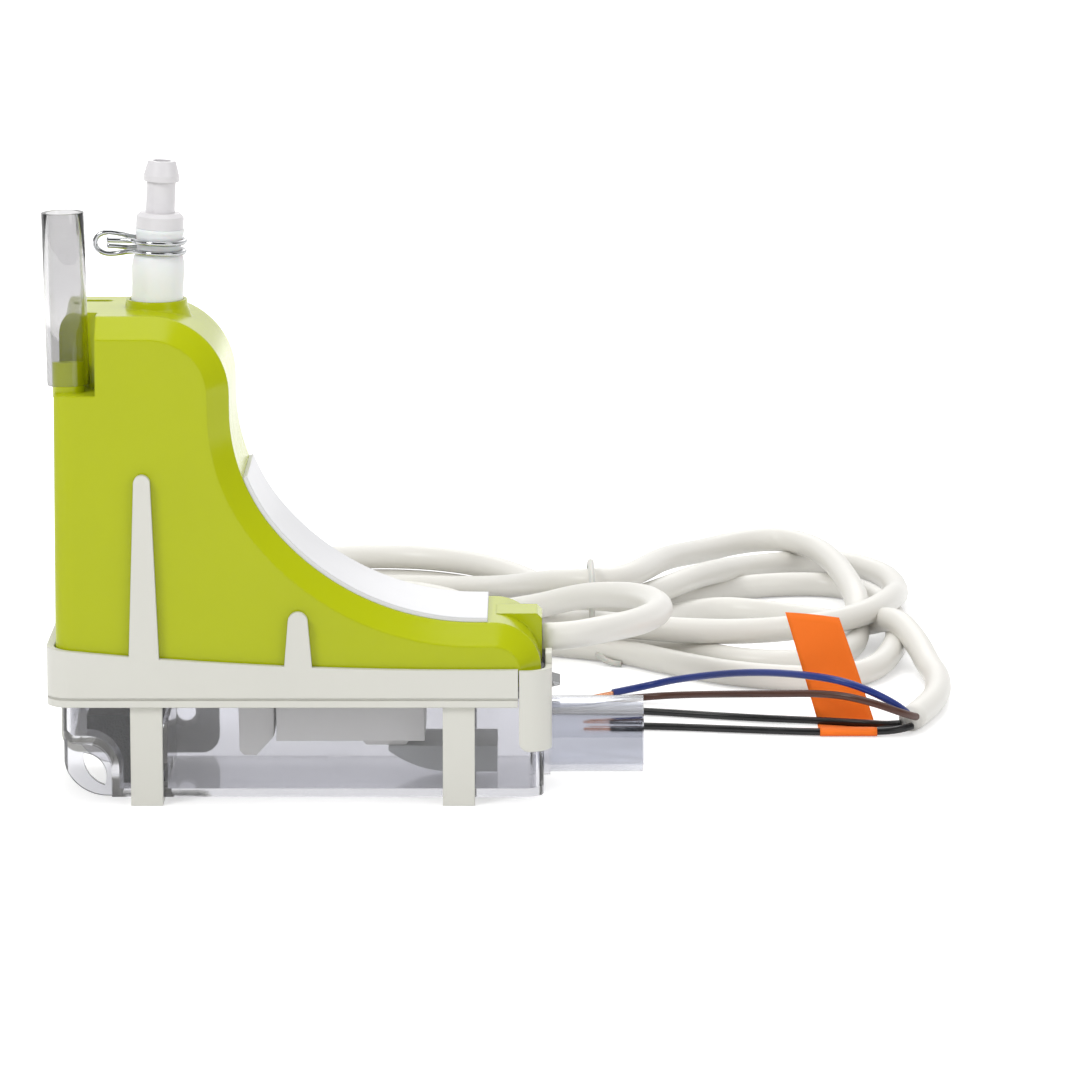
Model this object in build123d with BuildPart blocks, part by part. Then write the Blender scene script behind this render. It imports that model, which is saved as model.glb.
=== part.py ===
"""Condensate pump: a wall cradle holds a clear reservoir with a float, and a covered solenoid piston pump.

Millimetres. +X runs along the pump towards its inlet, +Y towards the wall, +Z up.
The origin is on the surface that the cradle's straps stand on, under the middle of the pump.
"""

from build123d import *
import os
from math import atan2, cos, degrees, pi, radians, sin, tan

os.makedirs("parts", exist_ok=True)

# ---------------------------------------------------------------- driving dimensions

# Reservoir
tank_left = -59.6
tank_length = 102.6
tank_depth = 33.6
tank_wall = 1.6
tank_corner = 4.0
heel_radius = 9.6
rim_height = 23.4
rim_thickness = 1.6
rim_overhang = 1.6
grip_wall = 1.8
grip_rib = 0.9
inlet_diameter = 16.5
inlet_wall = 1.5
inlet_reach = 21.4
inlet_height = 10.0
partition_place = 21.2
partition_thickness = 1.2
partition_height = 14.0
nub_reach = 3.5
nub_width = 9.0

# Cradle
strap_floor = 1.2
strap_thickness = 2.0
strap_width = 6.8
cradle_wall = 1.4
cradle_gap = 0.3
strap_places = (18.2, 84.5)
band_end = 97.1
band_drop = 1.6
plate_thickness = 2.0
plate_width = 34.6
plate_foot = 3.0
plate_height = 61.0
screw_hole = 4.2
screw_head = 6.4
screw_spacing_x = 20.0
screw_spacing_z = 42.0

# Cover
cover_height = 104.5
cover_wall = 2.0
cover_draft = 0.8
cover_corner = 3.6
edge_bevel = 4.4
top_edge_radius = 4.0
top_radius = 16.6
steep_place = 37.3
steep_height = 84.4
slope_fullness = 0.88
valley_height = 38.8
nose_radius = 10.0
nose_flat = 4.0
seal_thickness = 1.0
groove_height = 1.4
groove_depth = 0.9
notch_width = 9.4
notch_floor = 88.2
panel_proud = 1.0
panel_start = 21.2
panel_margin = 0.3
outlet_height = 32.8
outlet_width = 10.4
outlet_length = 9.6

# Discharge and breather
discharge_place = 21.4
discharge_lean = 2.7
collar_top = 106.2
hose_radius = 5.2
hose_bore = 6.2
hose_length = 18.1
hose_plug = 3.3
stem_diameter = 6.2
stem_length = 6.7
barb_diameter = 7.6
barb_tip_diameter = 5.9
barb_length = 4.3
barb_land = 1.2
shoulder_diameter = 10.1
shoulder_length = 3.4
adaptor_bore = 3.8
clip_wire = 1.0
breather_diameter = 9.0
breather_bore = 6.9
breather_lean = 1.2
breather_length = 36.5
spigot_diameter = 6.7
spigot_height = 6.8

# Pump works
cylinder_diameter = 8.0
cylinder_bore = 6.0
piston_length = 20.0
piston_foot = 56.0
works_foot = 46.0
mount_thickness = 3.0
yoke_width = 26.0
yoke_height = 36.0
yoke_depth = 18.0
yoke_plate = 2.0
coil_diameter = 20.4
spring_wire = 0.7
suction_hose_diameter = 6.0
suction_hose_bore = 3.5
suction_place = 71.4

# Lead
lead_diameter = 6.0
core_diameter = 1.7
bare_length = 6.0
bare_diameter = 0.9

# Fits
easy_fit = 0.1
close_fit = 0.05
seat_gap = 0.2

# ---------------------------------------------------------------- derived places

tank_right = tank_left + tank_length
tank_half = tank_depth / 2
tank_bottom = strap_floor + seat_gap
tank_floor = tank_bottom + tank_wall
rim_top = tank_bottom + rim_height
rim_half = tank_half + rim_overhang
rim_bottom = rim_top - rim_thickness
inlet_axis = tank_bottom + inlet_height
inlet_radius = inlet_diameter / 2

cover_left = tank_left - 1.1
cover_right = tank_right - 0.6
cover_half = rim_half
cover_bottom = rim_top + seal_thickness
skirt_top = valley_height - nose_radius
steep_x = cover_left + steep_place
valley_x = cover_right - nose_radius - nose_flat

cradle_left = cover_left - cradle_gap - 1.6
cradle_right = tank_left + band_end
cradle_inner = rim_half + cradle_gap
cradle_half = cradle_inner + cradle_wall
lip_inner = tank_half + cradle_gap
band_bottom = rim_bottom - band_drop
band_ledge = rim_bottom - seat_gap

discharge_x = cover_left + discharge_place
suction_x = tank_left + suction_place

# The concave slope is two tangent arcs, upright at the top and level at the bottom.
slope_drop = steep_height - valley_height
upper_radius = slope_fullness * slope_drop
slope_run = valley_x - steep_x - upper_radius
lower_radius = (slope_run**2 + slope_drop**2 - upper_radius**2) / (2 * (slope_drop - upper_radius))
upper_centre = (steep_x + upper_radius, steep_height)
lower_centre = (valley_x, valley_height + lower_radius)
join_angle = degrees(atan2(upper_centre[1] - lower_centre[1], upper_centre[0] - lower_centre[0])) + 360


def plan_outline(left, right, half_depth, corner, height):
    """A rounded rectangle seen from above, on the level given."""
    with BuildSketch(Plane.XY.offset(height)) as outline:
        with Locations(((left + right) / 2, 0)):
            RectangleRounded(right - left, 2 * half_depth, corner)
    return outline.sketch


def side_outline(inset):
    """The cover's side view above its skirt, moved inwards by the inset."""
    with BuildSketch(Plane.XZ) as outline:
        with BuildLine():
            top = cover_height - inset
            left = Line((cover_left + inset, skirt_top), (cover_left + cover_draft + inset, top))
            roof = Line(left @ 1, (steep_x - top_radius, top))
            crown = CenterArc(
                (steep_x - top_radius, cover_height - top_radius), top_radius - inset, 90, -90
            )
            Line(crown @ 1, (steep_x - inset, steep_height))
            CenterArc(upper_centre, upper_radius + inset, 180, join_angle - 180)
            slope = CenterArc(lower_centre, lower_radius + inset, join_angle, 270 - join_angle)
            Line(slope @ 1, (cover_right - nose_radius, valley_height - inset))
            nose = CenterArc((cover_right - nose_radius, skirt_top), nose_radius - inset, 90, -90)
            Line(nose @ 1, left @ 0)
        make_face()
    return outline.sketch


def cover_form(inset, bevel):
    """The bevelled body of the cover, or of its hollow when the inset is the wall."""
    half = cover_half - inset
    with BuildPart() as form:
        extrude(side_outline(inset), amount=half, both=True)
        side_edges = form.faces().filter_by(Axis.Y).edges()
        bevelled = side_edges.filter_by(
            lambda edge: edge.center().Z > skirt_top + 0.2 and edge.center().X > cover_left + 4
        )
        chamfer(bevelled, length=bevel)
        extrude(
            plan_outline(cover_left + inset, cover_right - inset, half, cover_corner - inset / 2, 0),
            amount=cover_height,
            mode=Mode.INTERSECT,
        )
    return form.part


# ---------------------------------------------------------------- cradle

band_crest = (
    (cradle_left, rim_top + 9.4),
    (cradle_left + 50.6, rim_top + 5.7),
    (cradle_right, rim_top + 4.9),
)
finger_foot = rim_top + 3
fingers = (
    # place of the middle, width at the foot, width at the top, height of the tip
    (tank_left + 17.95, 6.7, 3.5, rim_top + 46.8),
    (tank_left + 50.55, 6.3, 4.2, rim_top + 17.4),
)

with BuildPart() as cradle:
    extrude(
        plan_outline(cradle_left, cradle_right + 20, cradle_half, 5.2, band_bottom),
        amount=rim_top + 12 - band_bottom,
    )
    extrude(
        plan_outline(cradle_left + 1.6, cradle_right + 30, cradle_inner, 3.8, band_ledge),
        amount=rim_top + 20 - band_ledge,
        mode=Mode.SUBTRACT,
    )
    extrude(
        plan_outline(tank_left - cradle_gap, cradle_right + 30, lip_inner, 4.2, band_bottom),
        amount=band_ledge - band_bottom,
        mode=Mode.SUBTRACT,
    )
    # the crest of the band falls gently towards the inlet end
    with BuildSketch(Plane.XZ):
        with BuildLine():
            crest = ThreePointArc(*band_crest)
            Polyline(
                crest @ 1,
                (cradle_right, rim_top + 20),
                (cradle_left, rim_top + 20),
                crest @ 0,
            )
        make_face()
    extrude(amount=cradle_half + 1, both=True, mode=Mode.SUBTRACT)
    with BuildSketch(Plane.XY.offset(band_bottom)):
        with Locations((cradle_right + 20, 0)):
            Rectangle(40, 2 * cradle_half + 2)
    extrude(amount=40, mode=Mode.SUBTRACT)
    # a fine groove runs round the band above its lip
    with BuildSketch(Plane.XY.offset(band_ledge + 0.1)):
        add(plan_outline(cradle_left - 1, cradle_right + 20, cradle_half + 1, 6.2, 0))
        add(plan_outline(cradle_left + 0.4, cradle_right + 30, cradle_half - 0.4, 4.8, 0), mode=Mode.SUBTRACT)
    extrude(amount=0.5, mode=Mode.SUBTRACT)
    # fingers stand up from the band in front of the cover
    with BuildSketch(Plane.XZ.offset(cradle_half)):
        for middle, foot_width, tip_width, tip in fingers:
            shoulder = tip - tip_width / 2
            with BuildLine():
                Polyline(
                    (middle - foot_width / 2, finger_foot),
                    (middle + foot_width / 2, finger_foot),
                    (middle + tip_width / 2, shoulder),
                    (middle - tip_width / 2, shoulder),
                    close=True,
                )
            make_face()
            with Locations((middle, shoulder)):
                Circle(tip_width / 2)
    extrude(amount=-cradle_wall)
    # straps pass down the front, under the reservoir and up the back
    for place in strap_places:
        with BuildSketch(Plane.YZ.offset(tank_left + place - strap_width / 2)):
            with BuildLine():
                Polyline(
                    (-lip_inner - strap_thickness, band_ledge),
                    (-lip_inner - strap_thickness, 0),
                    (cradle_half, 0),
                    (cradle_half, band_ledge),
                    (cradle_inner, band_ledge),
                    (cradle_inner, strap_floor),
                    (-lip_inner, strap_floor),
                    (-lip_inner, band_ledge),
                    close=True,
                )
            make_face()
        extrude(amount=strap_width)
    # wall plate behind the tall end
    with BuildSketch(Plane.XZ.offset(-cradle_inner)):
        with Locations((cradle_left + plate_width / 2, plate_foot + plate_height / 2)):
            RectangleRounded(plate_width, plate_height, 4.0)
    extrude(amount=-plate_thickness)
    screw_centre = (cradle_left + plate_width / 2, cradle_inner, plate_foot + 30)
    for side in (-1, 1):
        for level in (-1, 1):
            spot = (
                screw_centre[0] + side * screw_spacing_x / 2,
                cradle_inner,
                screw_centre[2] + level * screw_spacing_z / 2,
            )
            with Locations(Plane(origin=spot, z_dir=(0, -1, 0))):
                CounterSinkHole(screw_hole / 2, screw_head / 2, depth=plate_thickness + 2)
cradle.part.label = "wall_cradle"
export_step(cradle.part, "parts/wall_cradle.step")

# ---------------------------------------------------------------- reservoir

# The left wall of the hollow bends in over the grip, in an S.
bend_top = tank_bottom + 14.5
bend_level = tank_bottom + 11.5
grip_x = tank_left + 5.0
grip_radius = 5.5

with BuildPart() as hollow:
    with BuildSketch(Plane.XZ):
        with BuildLine():
            wall = Line((tank_left + tank_wall, rim_top + 5), (tank_left + tank_wall, bend_top))
            bend = CenterArc((tank_left + 3.0, bend_top), 3.0 - tank_wall, 180, 90)
            level = Line(bend @ 1, (grip_x, bend_level + tank_wall))
            knee = CenterArc(
                (grip_x, bend_level - grip_radius), grip_radius + tank_wall, 90, -90
            )
            Polyline(
                knee @ 1,
                (grip_x + grip_radius + tank_wall, tank_floor),
                (tank_right - tank_wall, tank_floor),
                (tank_right - tank_wall, rim_top + 5),
                wall @ 0,
            )
        make_face()
    extrude(amount=tank_half - tank_wall, both=True)
    extrude(
        plan_outline(
            tank_left + tank_wall, tank_right - tank_wall, tank_half - tank_wall, tank_corner - tank_wall, 0
        ),
        amount=rim_top + 10,
        mode=Mode.INTERSECT,
    )

web_inner = tank_half - 2.4
web_thickness = 1.2

with BuildPart() as heel_void:
    with BuildSketch(Plane.XZ):
        with BuildLine():
            shoulder = CenterArc((tank_left + 3.0, bend_top), 3.0, 180, 90)
            Line(shoulder @ 1, (grip_x, bend_level))
            crown = CenterArc((grip_x, bend_level - grip_radius), grip_radius, 90, -90)
            Polyline(
                crown @ 1,
                (grip_x + grip_radius, 0),
                (tank_left - 1, 0),
                (tank_left - 1, bend_top),
                shoulder @ 0,
            )
        make_face()
    extrude(amount=tank_half + 1, both=True)
    for side in (-1, 1):
        with BuildSketch(Plane.XY):
            with Locations((tank_left + 4, side * (web_inner + web_thickness / 2))):
                Rectangle(20, web_thickness)
        extrude(amount=30, mode=Mode.SUBTRACT)

with BuildPart() as tank:
    with BuildSketch(Plane.XZ):
        with BuildLine():
            Polyline(
                (tank_left + heel_radius, tank_bottom),
                (tank_right, tank_bottom),
                (tank_right, rim_top),
                (tank_left, rim_top),
                (tank_left, tank_bottom + heel_radius),
            )
            CenterArc(
                (tank_left + heel_radius, tank_bottom + heel_radius), heel_radius, 180, 90
            )
        make_face()
    extrude(amount=tank_half, both=True)
    extrude(
        plan_outline(tank_left, tank_right, tank_half, tank_corner, 0),
        amount=rim_top,
        mode=Mode.INTERSECT,
    )
    extrude(
        plan_outline(cover_left, tank_right, rim_half, cover_corner, rim_bottom),
        amount=rim_thickness,
    )
    # inlet socket for a hose, with a collar against the end wall
    with BuildSketch(Plane.YZ.offset(tank_right - tank_wall)):
        with Locations((0, inlet_axis)):
            Circle(inlet_radius)
    extrude(amount=inlet_reach + tank_wall)
    with BuildSketch(Plane.YZ.offset(tank_right)):
        with Locations((0, inlet_axis)):
            Circle(inlet_radius + 0.65)
    extrude(amount=1.4)
    # wedge that the end clip snaps over
    with BuildSketch(Plane.XZ):
        with BuildLine():
            Polyline(
                (tank_right - 0.5, rim_bottom - 0.9),
                (tank_right, rim_bottom - 0.9),
                (tank_right + nub_reach, rim_bottom - 0.1),
                (tank_right + nub_reach, rim_bottom + 0.3),
                (tank_right, rim_bottom + 1.3),
                (tank_right - 0.5, rim_bottom + 1.3),
                close=True,
            )
        make_face()
    extrude(amount=nub_width / 2, both=True)
    add(hollow.part, mode=Mode.SUBTRACT)
    # the heel under the bend is open, but for a web near each side with a crescent hole
    add(heel_void.part, mode=Mode.SUBTRACT)
    with BuildSketch(Plane.XZ):
        with BuildLine():
            outer_edge = ThreePointArc(
                (grip_x - 0.5, bend_level - 2.2),
                (grip_x + 0.5, bend_level - 6.6),
                (grip_x + 3.9, tank_bottom + 2.3),
            )
            ThreePointArc(
                outer_edge @ 1,
                (grip_x + 3.4, bend_level - 4.2),
                outer_edge @ 0,
            )
        make_face()
    extrude(amount=tank_half + 1, both=True, mode=Mode.SUBTRACT)
    # wall of the float chamber, with a slot for the water at its foot
    with BuildSketch(Plane.YZ.offset(tank_left + partition_place)):
        with Locations((0, tank_floor + partition_height / 2)):
            Rectangle(2 * (tank_half - tank_wall / 2), partition_height)
        with Locations((0, tank_floor + 1.2)):
            Rectangle(10, 2.4, mode=Mode.SUBTRACT)
    extrude(amount=partition_thickness)
    # bore of the inlet
    with BuildSketch(Plane.YZ.offset(tank_right - tank_wall - 1)):
        with Locations((0, inlet_axis)):
            Circle(inlet_radius - inlet_wall)
    extrude(amount=inlet_reach + tank_wall + 2, mode=Mode.SUBTRACT)
tank.part.label = "reservoir"
export_step(tank.part, "parts/reservoir.step")

# ---------------------------------------------------------------- float

float_gap = 0.6
float_bottom = tank_floor + 0.3
float_top = rim_bottom - 5.0
float_left = grip_x
float_right = tank_left + partition_place - 0.9
float_half = 11.5
magnet_radius = 3.0
magnet_thickness = 2.5
float_middle = (float_left + float_right) / 2

with BuildPart() as float_block:
    with BuildSketch(Plane.XZ):
        with BuildLine():
            under = CenterArc(
                (grip_x, bend_level - grip_radius), grip_radius + tank_wall + float_gap, 90, -90
            )
            Polyline(
                under @ 1,
                (grip_x + grip_radius + tank_wall + float_gap, float_bottom),
                (float_right, float_bottom),
                (float_right, float_top),
                (float_left, float_top),
                under @ 0,
            )
        make_face()
    extrude(amount=float_half, both=True)
    with BuildSketch(Plane.XY.offset(float_top)):
        with Locations((float_middle, 0)):
            Circle(magnet_radius + close_fit)
    extrude(amount=-magnet_thickness - close_fit, mode=Mode.SUBTRACT)
float_block.part.label = "float"
export_step(float_block.part, "parts/float.step")

with BuildPart() as magnet:
    with BuildSketch(Plane.XY.offset(float_top - magnet_thickness)):
        with Locations((float_middle, 0)):
            Circle(magnet_radius)
    extrude(amount=magnet_thickness)
magnet.part.label = "float_magnet"
export_step(magnet.part, "parts/float_magnet.step")

# ---------------------------------------------------------------- pump base

block_left = tank_left + 45.4
block_right = tank_left + 77.1
block_bottom = tank_bottom + 10.8
block_half = 10.0
base_top = cover_bottom + 2.0
plug_depth = 3.0
plug_wall = 1.4
plug_gap = 0.3
screw_rows = (tank_left + 29.6, tank_left + 85.6)
screw_half = 10.5
boss_radius = 2.8
boss_height = 7.0
screw_radius = 1.3
screw_head_radius = 2.5
post_half = 9.0
plug_left = tank_left + tank_wall + plug_gap
plug_right = tank_right - tank_wall - plug_gap
plug_half = tank_half - tank_wall - plug_gap

with BuildPart() as base:
    extrude(
        plan_outline(
            cover_left + cover_wall + easy_fit,
            cover_right - cover_wall - easy_fit,
            cover_half - cover_wall - easy_fit,
            cover_corner - cover_wall / 2,
            cover_bottom,
        ),
        amount=base_top - cover_bottom,
    )
    # plug that fits inside the reservoir's mouth
    extrude(
        plan_outline(plug_left, plug_right, plug_half, 2.2, cover_bottom - plug_depth),
        amount=plug_depth,
    )
    extrude(
        plan_outline(
            plug_left + plug_wall, plug_right - plug_wall, plug_half - plug_wall, 1.2, cover_bottom - plug_depth
        ),
        amount=plug_depth,
        mode=Mode.SUBTRACT,
    )
    # suction block, its round foot and the stepped leg beside it
    with BuildSketch(Plane.XZ):
        with Locations(((block_left + block_right) / 2, (block_bottom + cover_bottom) / 2)):
            Rectangle(block_right - block_left, cover_bottom - block_bottom)
    extrude(amount=block_half, both=True)
    with BuildSketch(Plane.XZ):
        with BuildLine():
            Polyline(
                (suction_x - 8.4, block_bottom),
                (suction_x - 6.8, block_bottom - 1.5),
                (suction_x + 1.6, block_bottom - 1.5),
                (suction_x + 2.8, block_bottom),
                close=True,
            )
        make_face()
    extrude(amount=block_half - 3, both=True)
    with BuildSketch(Plane.XZ):
        with BuildLine():
            Polyline(
                (block_left - 8.3, cover_bottom),
                (block_left - 8.0, tank_bottom + 8.2),
                (block_left - 7.0, tank_bottom + 7.2),
                (block_left - 4.4, tank_bottom + 7.2),
                (block_left - 0.6, block_bottom + 0.6),
                (block_left - 0.6, cover_bottom),
                close=True,
            )
        make_face()
    extrude(amount=block_half - 2, both=True)
    # posts that carry the pump, and the suction nipple
    with BuildSketch(Plane.XY.offset(base_top)):
        with Locations((discharge_x, -post_half), (discharge_x, post_half)):
            Circle(2.2)
    extrude(amount=works_foot - base_top)
    with BuildSketch(Plane.XY.offset(base_top)):
        with Locations((suction_x, 0)):
            Circle(suction_hose_bore / 2 - close_fit)
    extrude(amount=2.0)
    with BuildSketch(Plane.XY.offset(block_bottom - 3)):
        with Locations((suction_x, 0)):
            Circle(1.0)
    extrude(amount=base_top + 10 - block_bottom, mode=Mode.SUBTRACT)
    with BuildSketch(Plane.XY.offset(cover_bottom - 1)):
        for row in screw_rows:
            with Locations((row, -screw_half), (row, screw_half)):
                Circle(screw_radius + easy_fit)
    extrude(amount=6, mode=Mode.SUBTRACT)
base.part.label = "pump_base"
export_step(base.part, "parts/pump_base.step")

# ---------------------------------------------------------------- seal under the cover

with BuildPart() as seal:
    with BuildSketch(Plane.XY.offset(rim_top)):
        add(plan_outline(cover_left + 0.4, cover_right - 0.2, cover_half - 0.4, cover_corner - 0.4, 0))
        add(
            plan_outline(plug_left - 0.2, plug_right + 0.2, plug_half + 0.2, 2.4, 0), mode=Mode.SUBTRACT
        )
    extrude(amount=seal_thickness)
seal.part.label = "base_seal"
export_step(seal.part, "parts/base_seal.step")

# ---------------------------------------------------------------- cover

notch_right = cover_left + notch_width
spigot_x = cover_left + 3.4
spigot_y = -(cover_half - 6.4)
notch_back = spigot_y + breather_diameter / 2 + 0.8


def notch_form(margin, floor):
    """The corner that is left out of the cover round the breather, grown by a margin."""
    with BuildPart() as notch:
        with BuildSketch(Plane.XY.offset(floor)):
            with Locations((spigot_x, spigot_y)):
                Circle(breather_diameter / 2 + 0.8 + margin)
            with Locations(((cover_left - 5 + notch_right + margin) / 2, -cover_half)):
                Rectangle(
                    notch_right + margin - cover_left + 5, 2 * (cover_half + spigot_y + margin)
                )
            with Locations(
                ((spigot_x + notch_right + margin) / 2, (spigot_y - cover_half) / 2 + 1.6)
            ):
                Rectangle(
                    notch_right + margin - spigot_x, cover_half + spigot_y + 3.2 + 2 * margin
                )
        extrude(amount=cover_height - floor + 1)
    return notch.part


with BuildPart() as cover_hollow:
    add(cover_form(cover_wall, edge_bevel - 1.1))
    extrude(
        plan_outline(
            cover_left + cover_wall,
            cover_right - cover_wall,
            cover_half - cover_wall,
            cover_corner - cover_wall / 2,
            cover_bottom - 1,
        ),
        amount=skirt_top - cover_bottom + 1,
    )
    add(notch_form(cover_wall, notch_floor - cover_wall), mode=Mode.SUBTRACT)

with BuildPart() as cover:
    add(cover_form(0, edge_bevel))
    extrude(
        plan_outline(cover_left, cover_right, cover_half, cover_corner, cover_bottom),
        amount=skirt_top - cover_bottom,
    )
    add(cover_hollow.part, mode=Mode.SUBTRACT)
    # rounded top edge at the tall end
    with BuildSketch(Plane.XZ):
        with BuildLine():
            round_over = CenterArc(
                (cover_left + cover_draft + top_edge_radius, cover_height - top_edge_radius),
                top_edge_radius,
                90,
                90,
            )
            Polyline(
                round_over @ 1,
                (cover_left - 1, cover_height - top_edge_radius),
                (cover_left - 1, cover_height + 1),
                (cover_left + cover_draft + top_edge_radius, cover_height + 1),
                round_over @ 0,
            )
        make_face()
    extrude(amount=cover_half + 1, both=True, mode=Mode.SUBTRACT)
    add(notch_form(0, notch_floor), mode=Mode.SUBTRACT)
    # spigot that the breather tube pushes over
    with BuildSketch(Plane.XY.offset(notch_floor - 1)):
        with Locations((spigot_x, spigot_y)):
            Circle(spigot_diameter / 2)
    extrude(amount=spigot_height + 1)
    with BuildSketch(Plane.XY.offset(notch_floor - cover_wall - 1)):
        with Locations((spigot_x, spigot_y)):
            Circle(spigot_diameter / 2 - 1.1)
    extrude(amount=spigot_height + cover_wall + 2, mode=Mode.SUBTRACT)
    # flared collar round the discharge hose
    with BuildSketch(Plane.XZ):
        with BuildLine():
            Polyline(
                (discharge_x, collar_top),
                (discharge_x + hose_radius + 1.25, collar_top),
                (discharge_x + hose_radius + 1.5, collar_top - 1.6),
                (discharge_x + hose_radius + 2.6, collar_top - 4.6),
                (discharge_x, collar_top - 4.6),
                close=True,
            )
        make_face()
    revolve(axis=Axis((discharge_x, 0, 0), (0, 0, 1)))
    with BuildSketch(Plane.XY.offset(collar_top - 8)):
        with Locations((discharge_x, 0)):
            Circle(hose_radius + 0.55)
    extrude(amount=10, mode=Mode.SUBTRACT)
    # shallow vent slot in the roof
    with BuildSketch(Plane.XY.offset(cover_height)):
        with Locations((cover_left + 8.2, 8.0)):
            SlotOverall(6.6, 2.4)
    extrude(amount=-1.0, mode=Mode.SUBTRACT)
    # box round the cable outlet, on the nose
    with BuildSketch(Plane.XZ):
        with BuildLine():
            Polyline(
                (cover_right + 0.2, skirt_top - 0.4),
                (cover_right + 0.2, valley_height - 1.0),
                (cover_right - 0.9, valley_height + 0.1),
                (cover_right - outlet_length, valley_height + 0.1),
                (cover_right - outlet_length, skirt_top - 0.4),
                close=True,
            )
        make_face()
    extrude(amount=outlet_width / 2, both=True)
    with BuildSketch(Plane.YZ.offset(cover_right - outlet_length - 1)):
        with Locations((0, outlet_height)):
            Circle(4.2)
    extrude(amount=outlet_length - 1.0, mode=Mode.SUBTRACT)
    with BuildSketch(Plane.YZ.offset(cover_right - 4)):
        with Locations((0, outlet_height)):
            Circle(lead_diameter / 2 + easy_fit)
    extrude(amount=6, mode=Mode.SUBTRACT)
    # grooves in the skirt for the end clip
    with BuildSketch(Plane.YZ.offset(cradle_right - 1.5)):
        with Locations((-cover_half, cover_bottom + 1.7), (cover_half, cover_bottom + 1.7)):
            Rectangle(2 * groove_depth, groove_height)
    extrude(amount=20, mode=Mode.SUBTRACT)
    # screw bosses, each with a web to the side wall
    with BuildSketch(Plane.XY.offset(base_top)):
        for row in screw_rows:
            with Locations((row, -screw_half), (row, screw_half)):
                Circle(boss_radius)
            with Locations(
                (row, -(screw_half + cover_half - 1) / 2), (row, (screw_half + cover_half - 1) / 2)
            ):
                Rectangle(1.6, cover_half - 1 - screw_half)
    extrude(amount=boss_height)
    with BuildSketch(Plane.XY.offset(base_top - 1)):
        for row in screw_rows:
            with Locations((row, -screw_half), (row, screw_half)):
                Circle(screw_radius + close_fit)
    extrude(amount=boss_height, mode=Mode.SUBTRACT)
cover.part.label = "pump_cover"
export_step(cover.part, "parts/pump_cover.step")

# ---------------------------------------------------------------- curved panel on the slope

panel_angle = 180 + panel_start
panel_half = cover_half - edge_bevel - panel_margin
panel_end = cover_right - 11.4

with BuildPart() as panel:
    with BuildSketch(Plane.XZ):
        with BuildLine():
            under_1 = CenterArc(upper_centre, upper_radius, panel_angle, join_angle - panel_angle)
            under_2 = CenterArc(lower_centre, lower_radius, join_angle, 270 - join_angle)
            over_1 = CenterArc(
                upper_centre, upper_radius - panel_proud, panel_angle, join_angle - panel_angle
            )
            over_2 = CenterArc(lower_centre, lower_radius - panel_proud, join_angle, 270 - join_angle)
            Line(under_1 @ 0, over_1 @ 0)
            Polyline(
                under_2 @ 1,
                (panel_end, valley_height),
                (panel_end, valley_height + panel_proud),
                over_2 @ 1,
            )
        make_face()
    extrude(amount=panel_half, both=True)
panel.part.label = "cover_panel"
export_step(panel.part, "parts/cover_panel.step")

# ---------------------------------------------------------------- end clip

clip_left = cradle_right + 0.2
clip_inner = tank_right + cradle_gap
clip_outer = clip_inner + 1.4
clip_bottom = tank_bottom + 10.5
clip_top = skirt_top + 0.6
clip_inner_half = cover_half + 0.3
clip_half = clip_inner_half + 1.2

with BuildPart() as clip:
    extrude(
        plan_outline(clip_left - 20, clip_outer, clip_half, 5.6, clip_bottom),
        amount=clip_top - clip_bottom,
    )
    extrude(
        plan_outline(clip_left - 30, clip_inner, clip_inner_half, 4.2, clip_bottom),
        amount=clip_top - clip_bottom,
        mode=Mode.SUBTRACT,
    )
    with BuildSketch(Plane.XZ):
        with Locations(((clip_left + clip_outer) / 2, (clip_bottom + clip_top) / 2)):
            Rectangle(clip_outer - clip_left, clip_top - clip_bottom)
    extrude(amount=clip_half + 1, both=True, mode=Mode.INTERSECT)
    lower_edges = clip.edges().filter_by(Axis.Y).filter_by(
        lambda edge: edge.center().Z < clip_bottom + 0.1 and edge.center().X < clip_left + 0.1
    )
    fillet(lower_edges, radius=2.2)
    # arch over the inlet and window for the wedge
    with BuildSketch(Plane.YZ.offset(clip_inner - 1)):
        with Locations((0, inlet_axis)):
            Circle(inlet_radius + 1.05)
        with Locations((0, (clip_bottom + inlet_axis) / 2 - 2)):
            Rectangle(2 * inlet_radius + 2.1, inlet_axis - clip_bottom + 4)
        with Locations((0, (rim_bottom - 1.2 + rim_bottom + 2.4) / 2)):
            Rectangle(nub_width + 3, 3.6)
        with Locations((0, clip_top)):
            Rectangle(9.0, 2.8)
    extrude(amount=5, mode=Mode.SUBTRACT)
    # lips that hold the reservoir's rim and the cover's skirt together
    for side in (-1, 1):
        with BuildSketch(Plane.YZ.offset(clip_left)):
            with Locations((side * (clip_inner_half - 0.7), rim_bottom - 1.0)):
                Rectangle(1.6, 1.3)
            with Locations((side * (clip_inner_half - 0.4), cover_bottom + 1.7)):
                Rectangle(1.0, 1.0)
        extrude(amount=3.6)
    # thumb lug with its slot
    with BuildSketch(Plane.YZ.offset(clip_inner)):
        with Locations((-9.5, clip_top + 1.0)):
            RectangleRounded(5.0, 3.0, 0.6)
        with Locations((-9.5, clip_top + 1.0)):
            Rectangle(2.4, 0.9, mode=Mode.SUBTRACT)
    extrude(amount=1.4)
clip.part.label = "end_clip"
export_step(clip.part, "parts/end_clip.step")

# ---------------------------------------------------------------- filter under the suction block

filter_left = suction_x - 2.1
filter_right = suction_x + 21.2
filter_top = block_bottom - 1.5
filter_half = 8.0
filter_wall = 0.8

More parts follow.
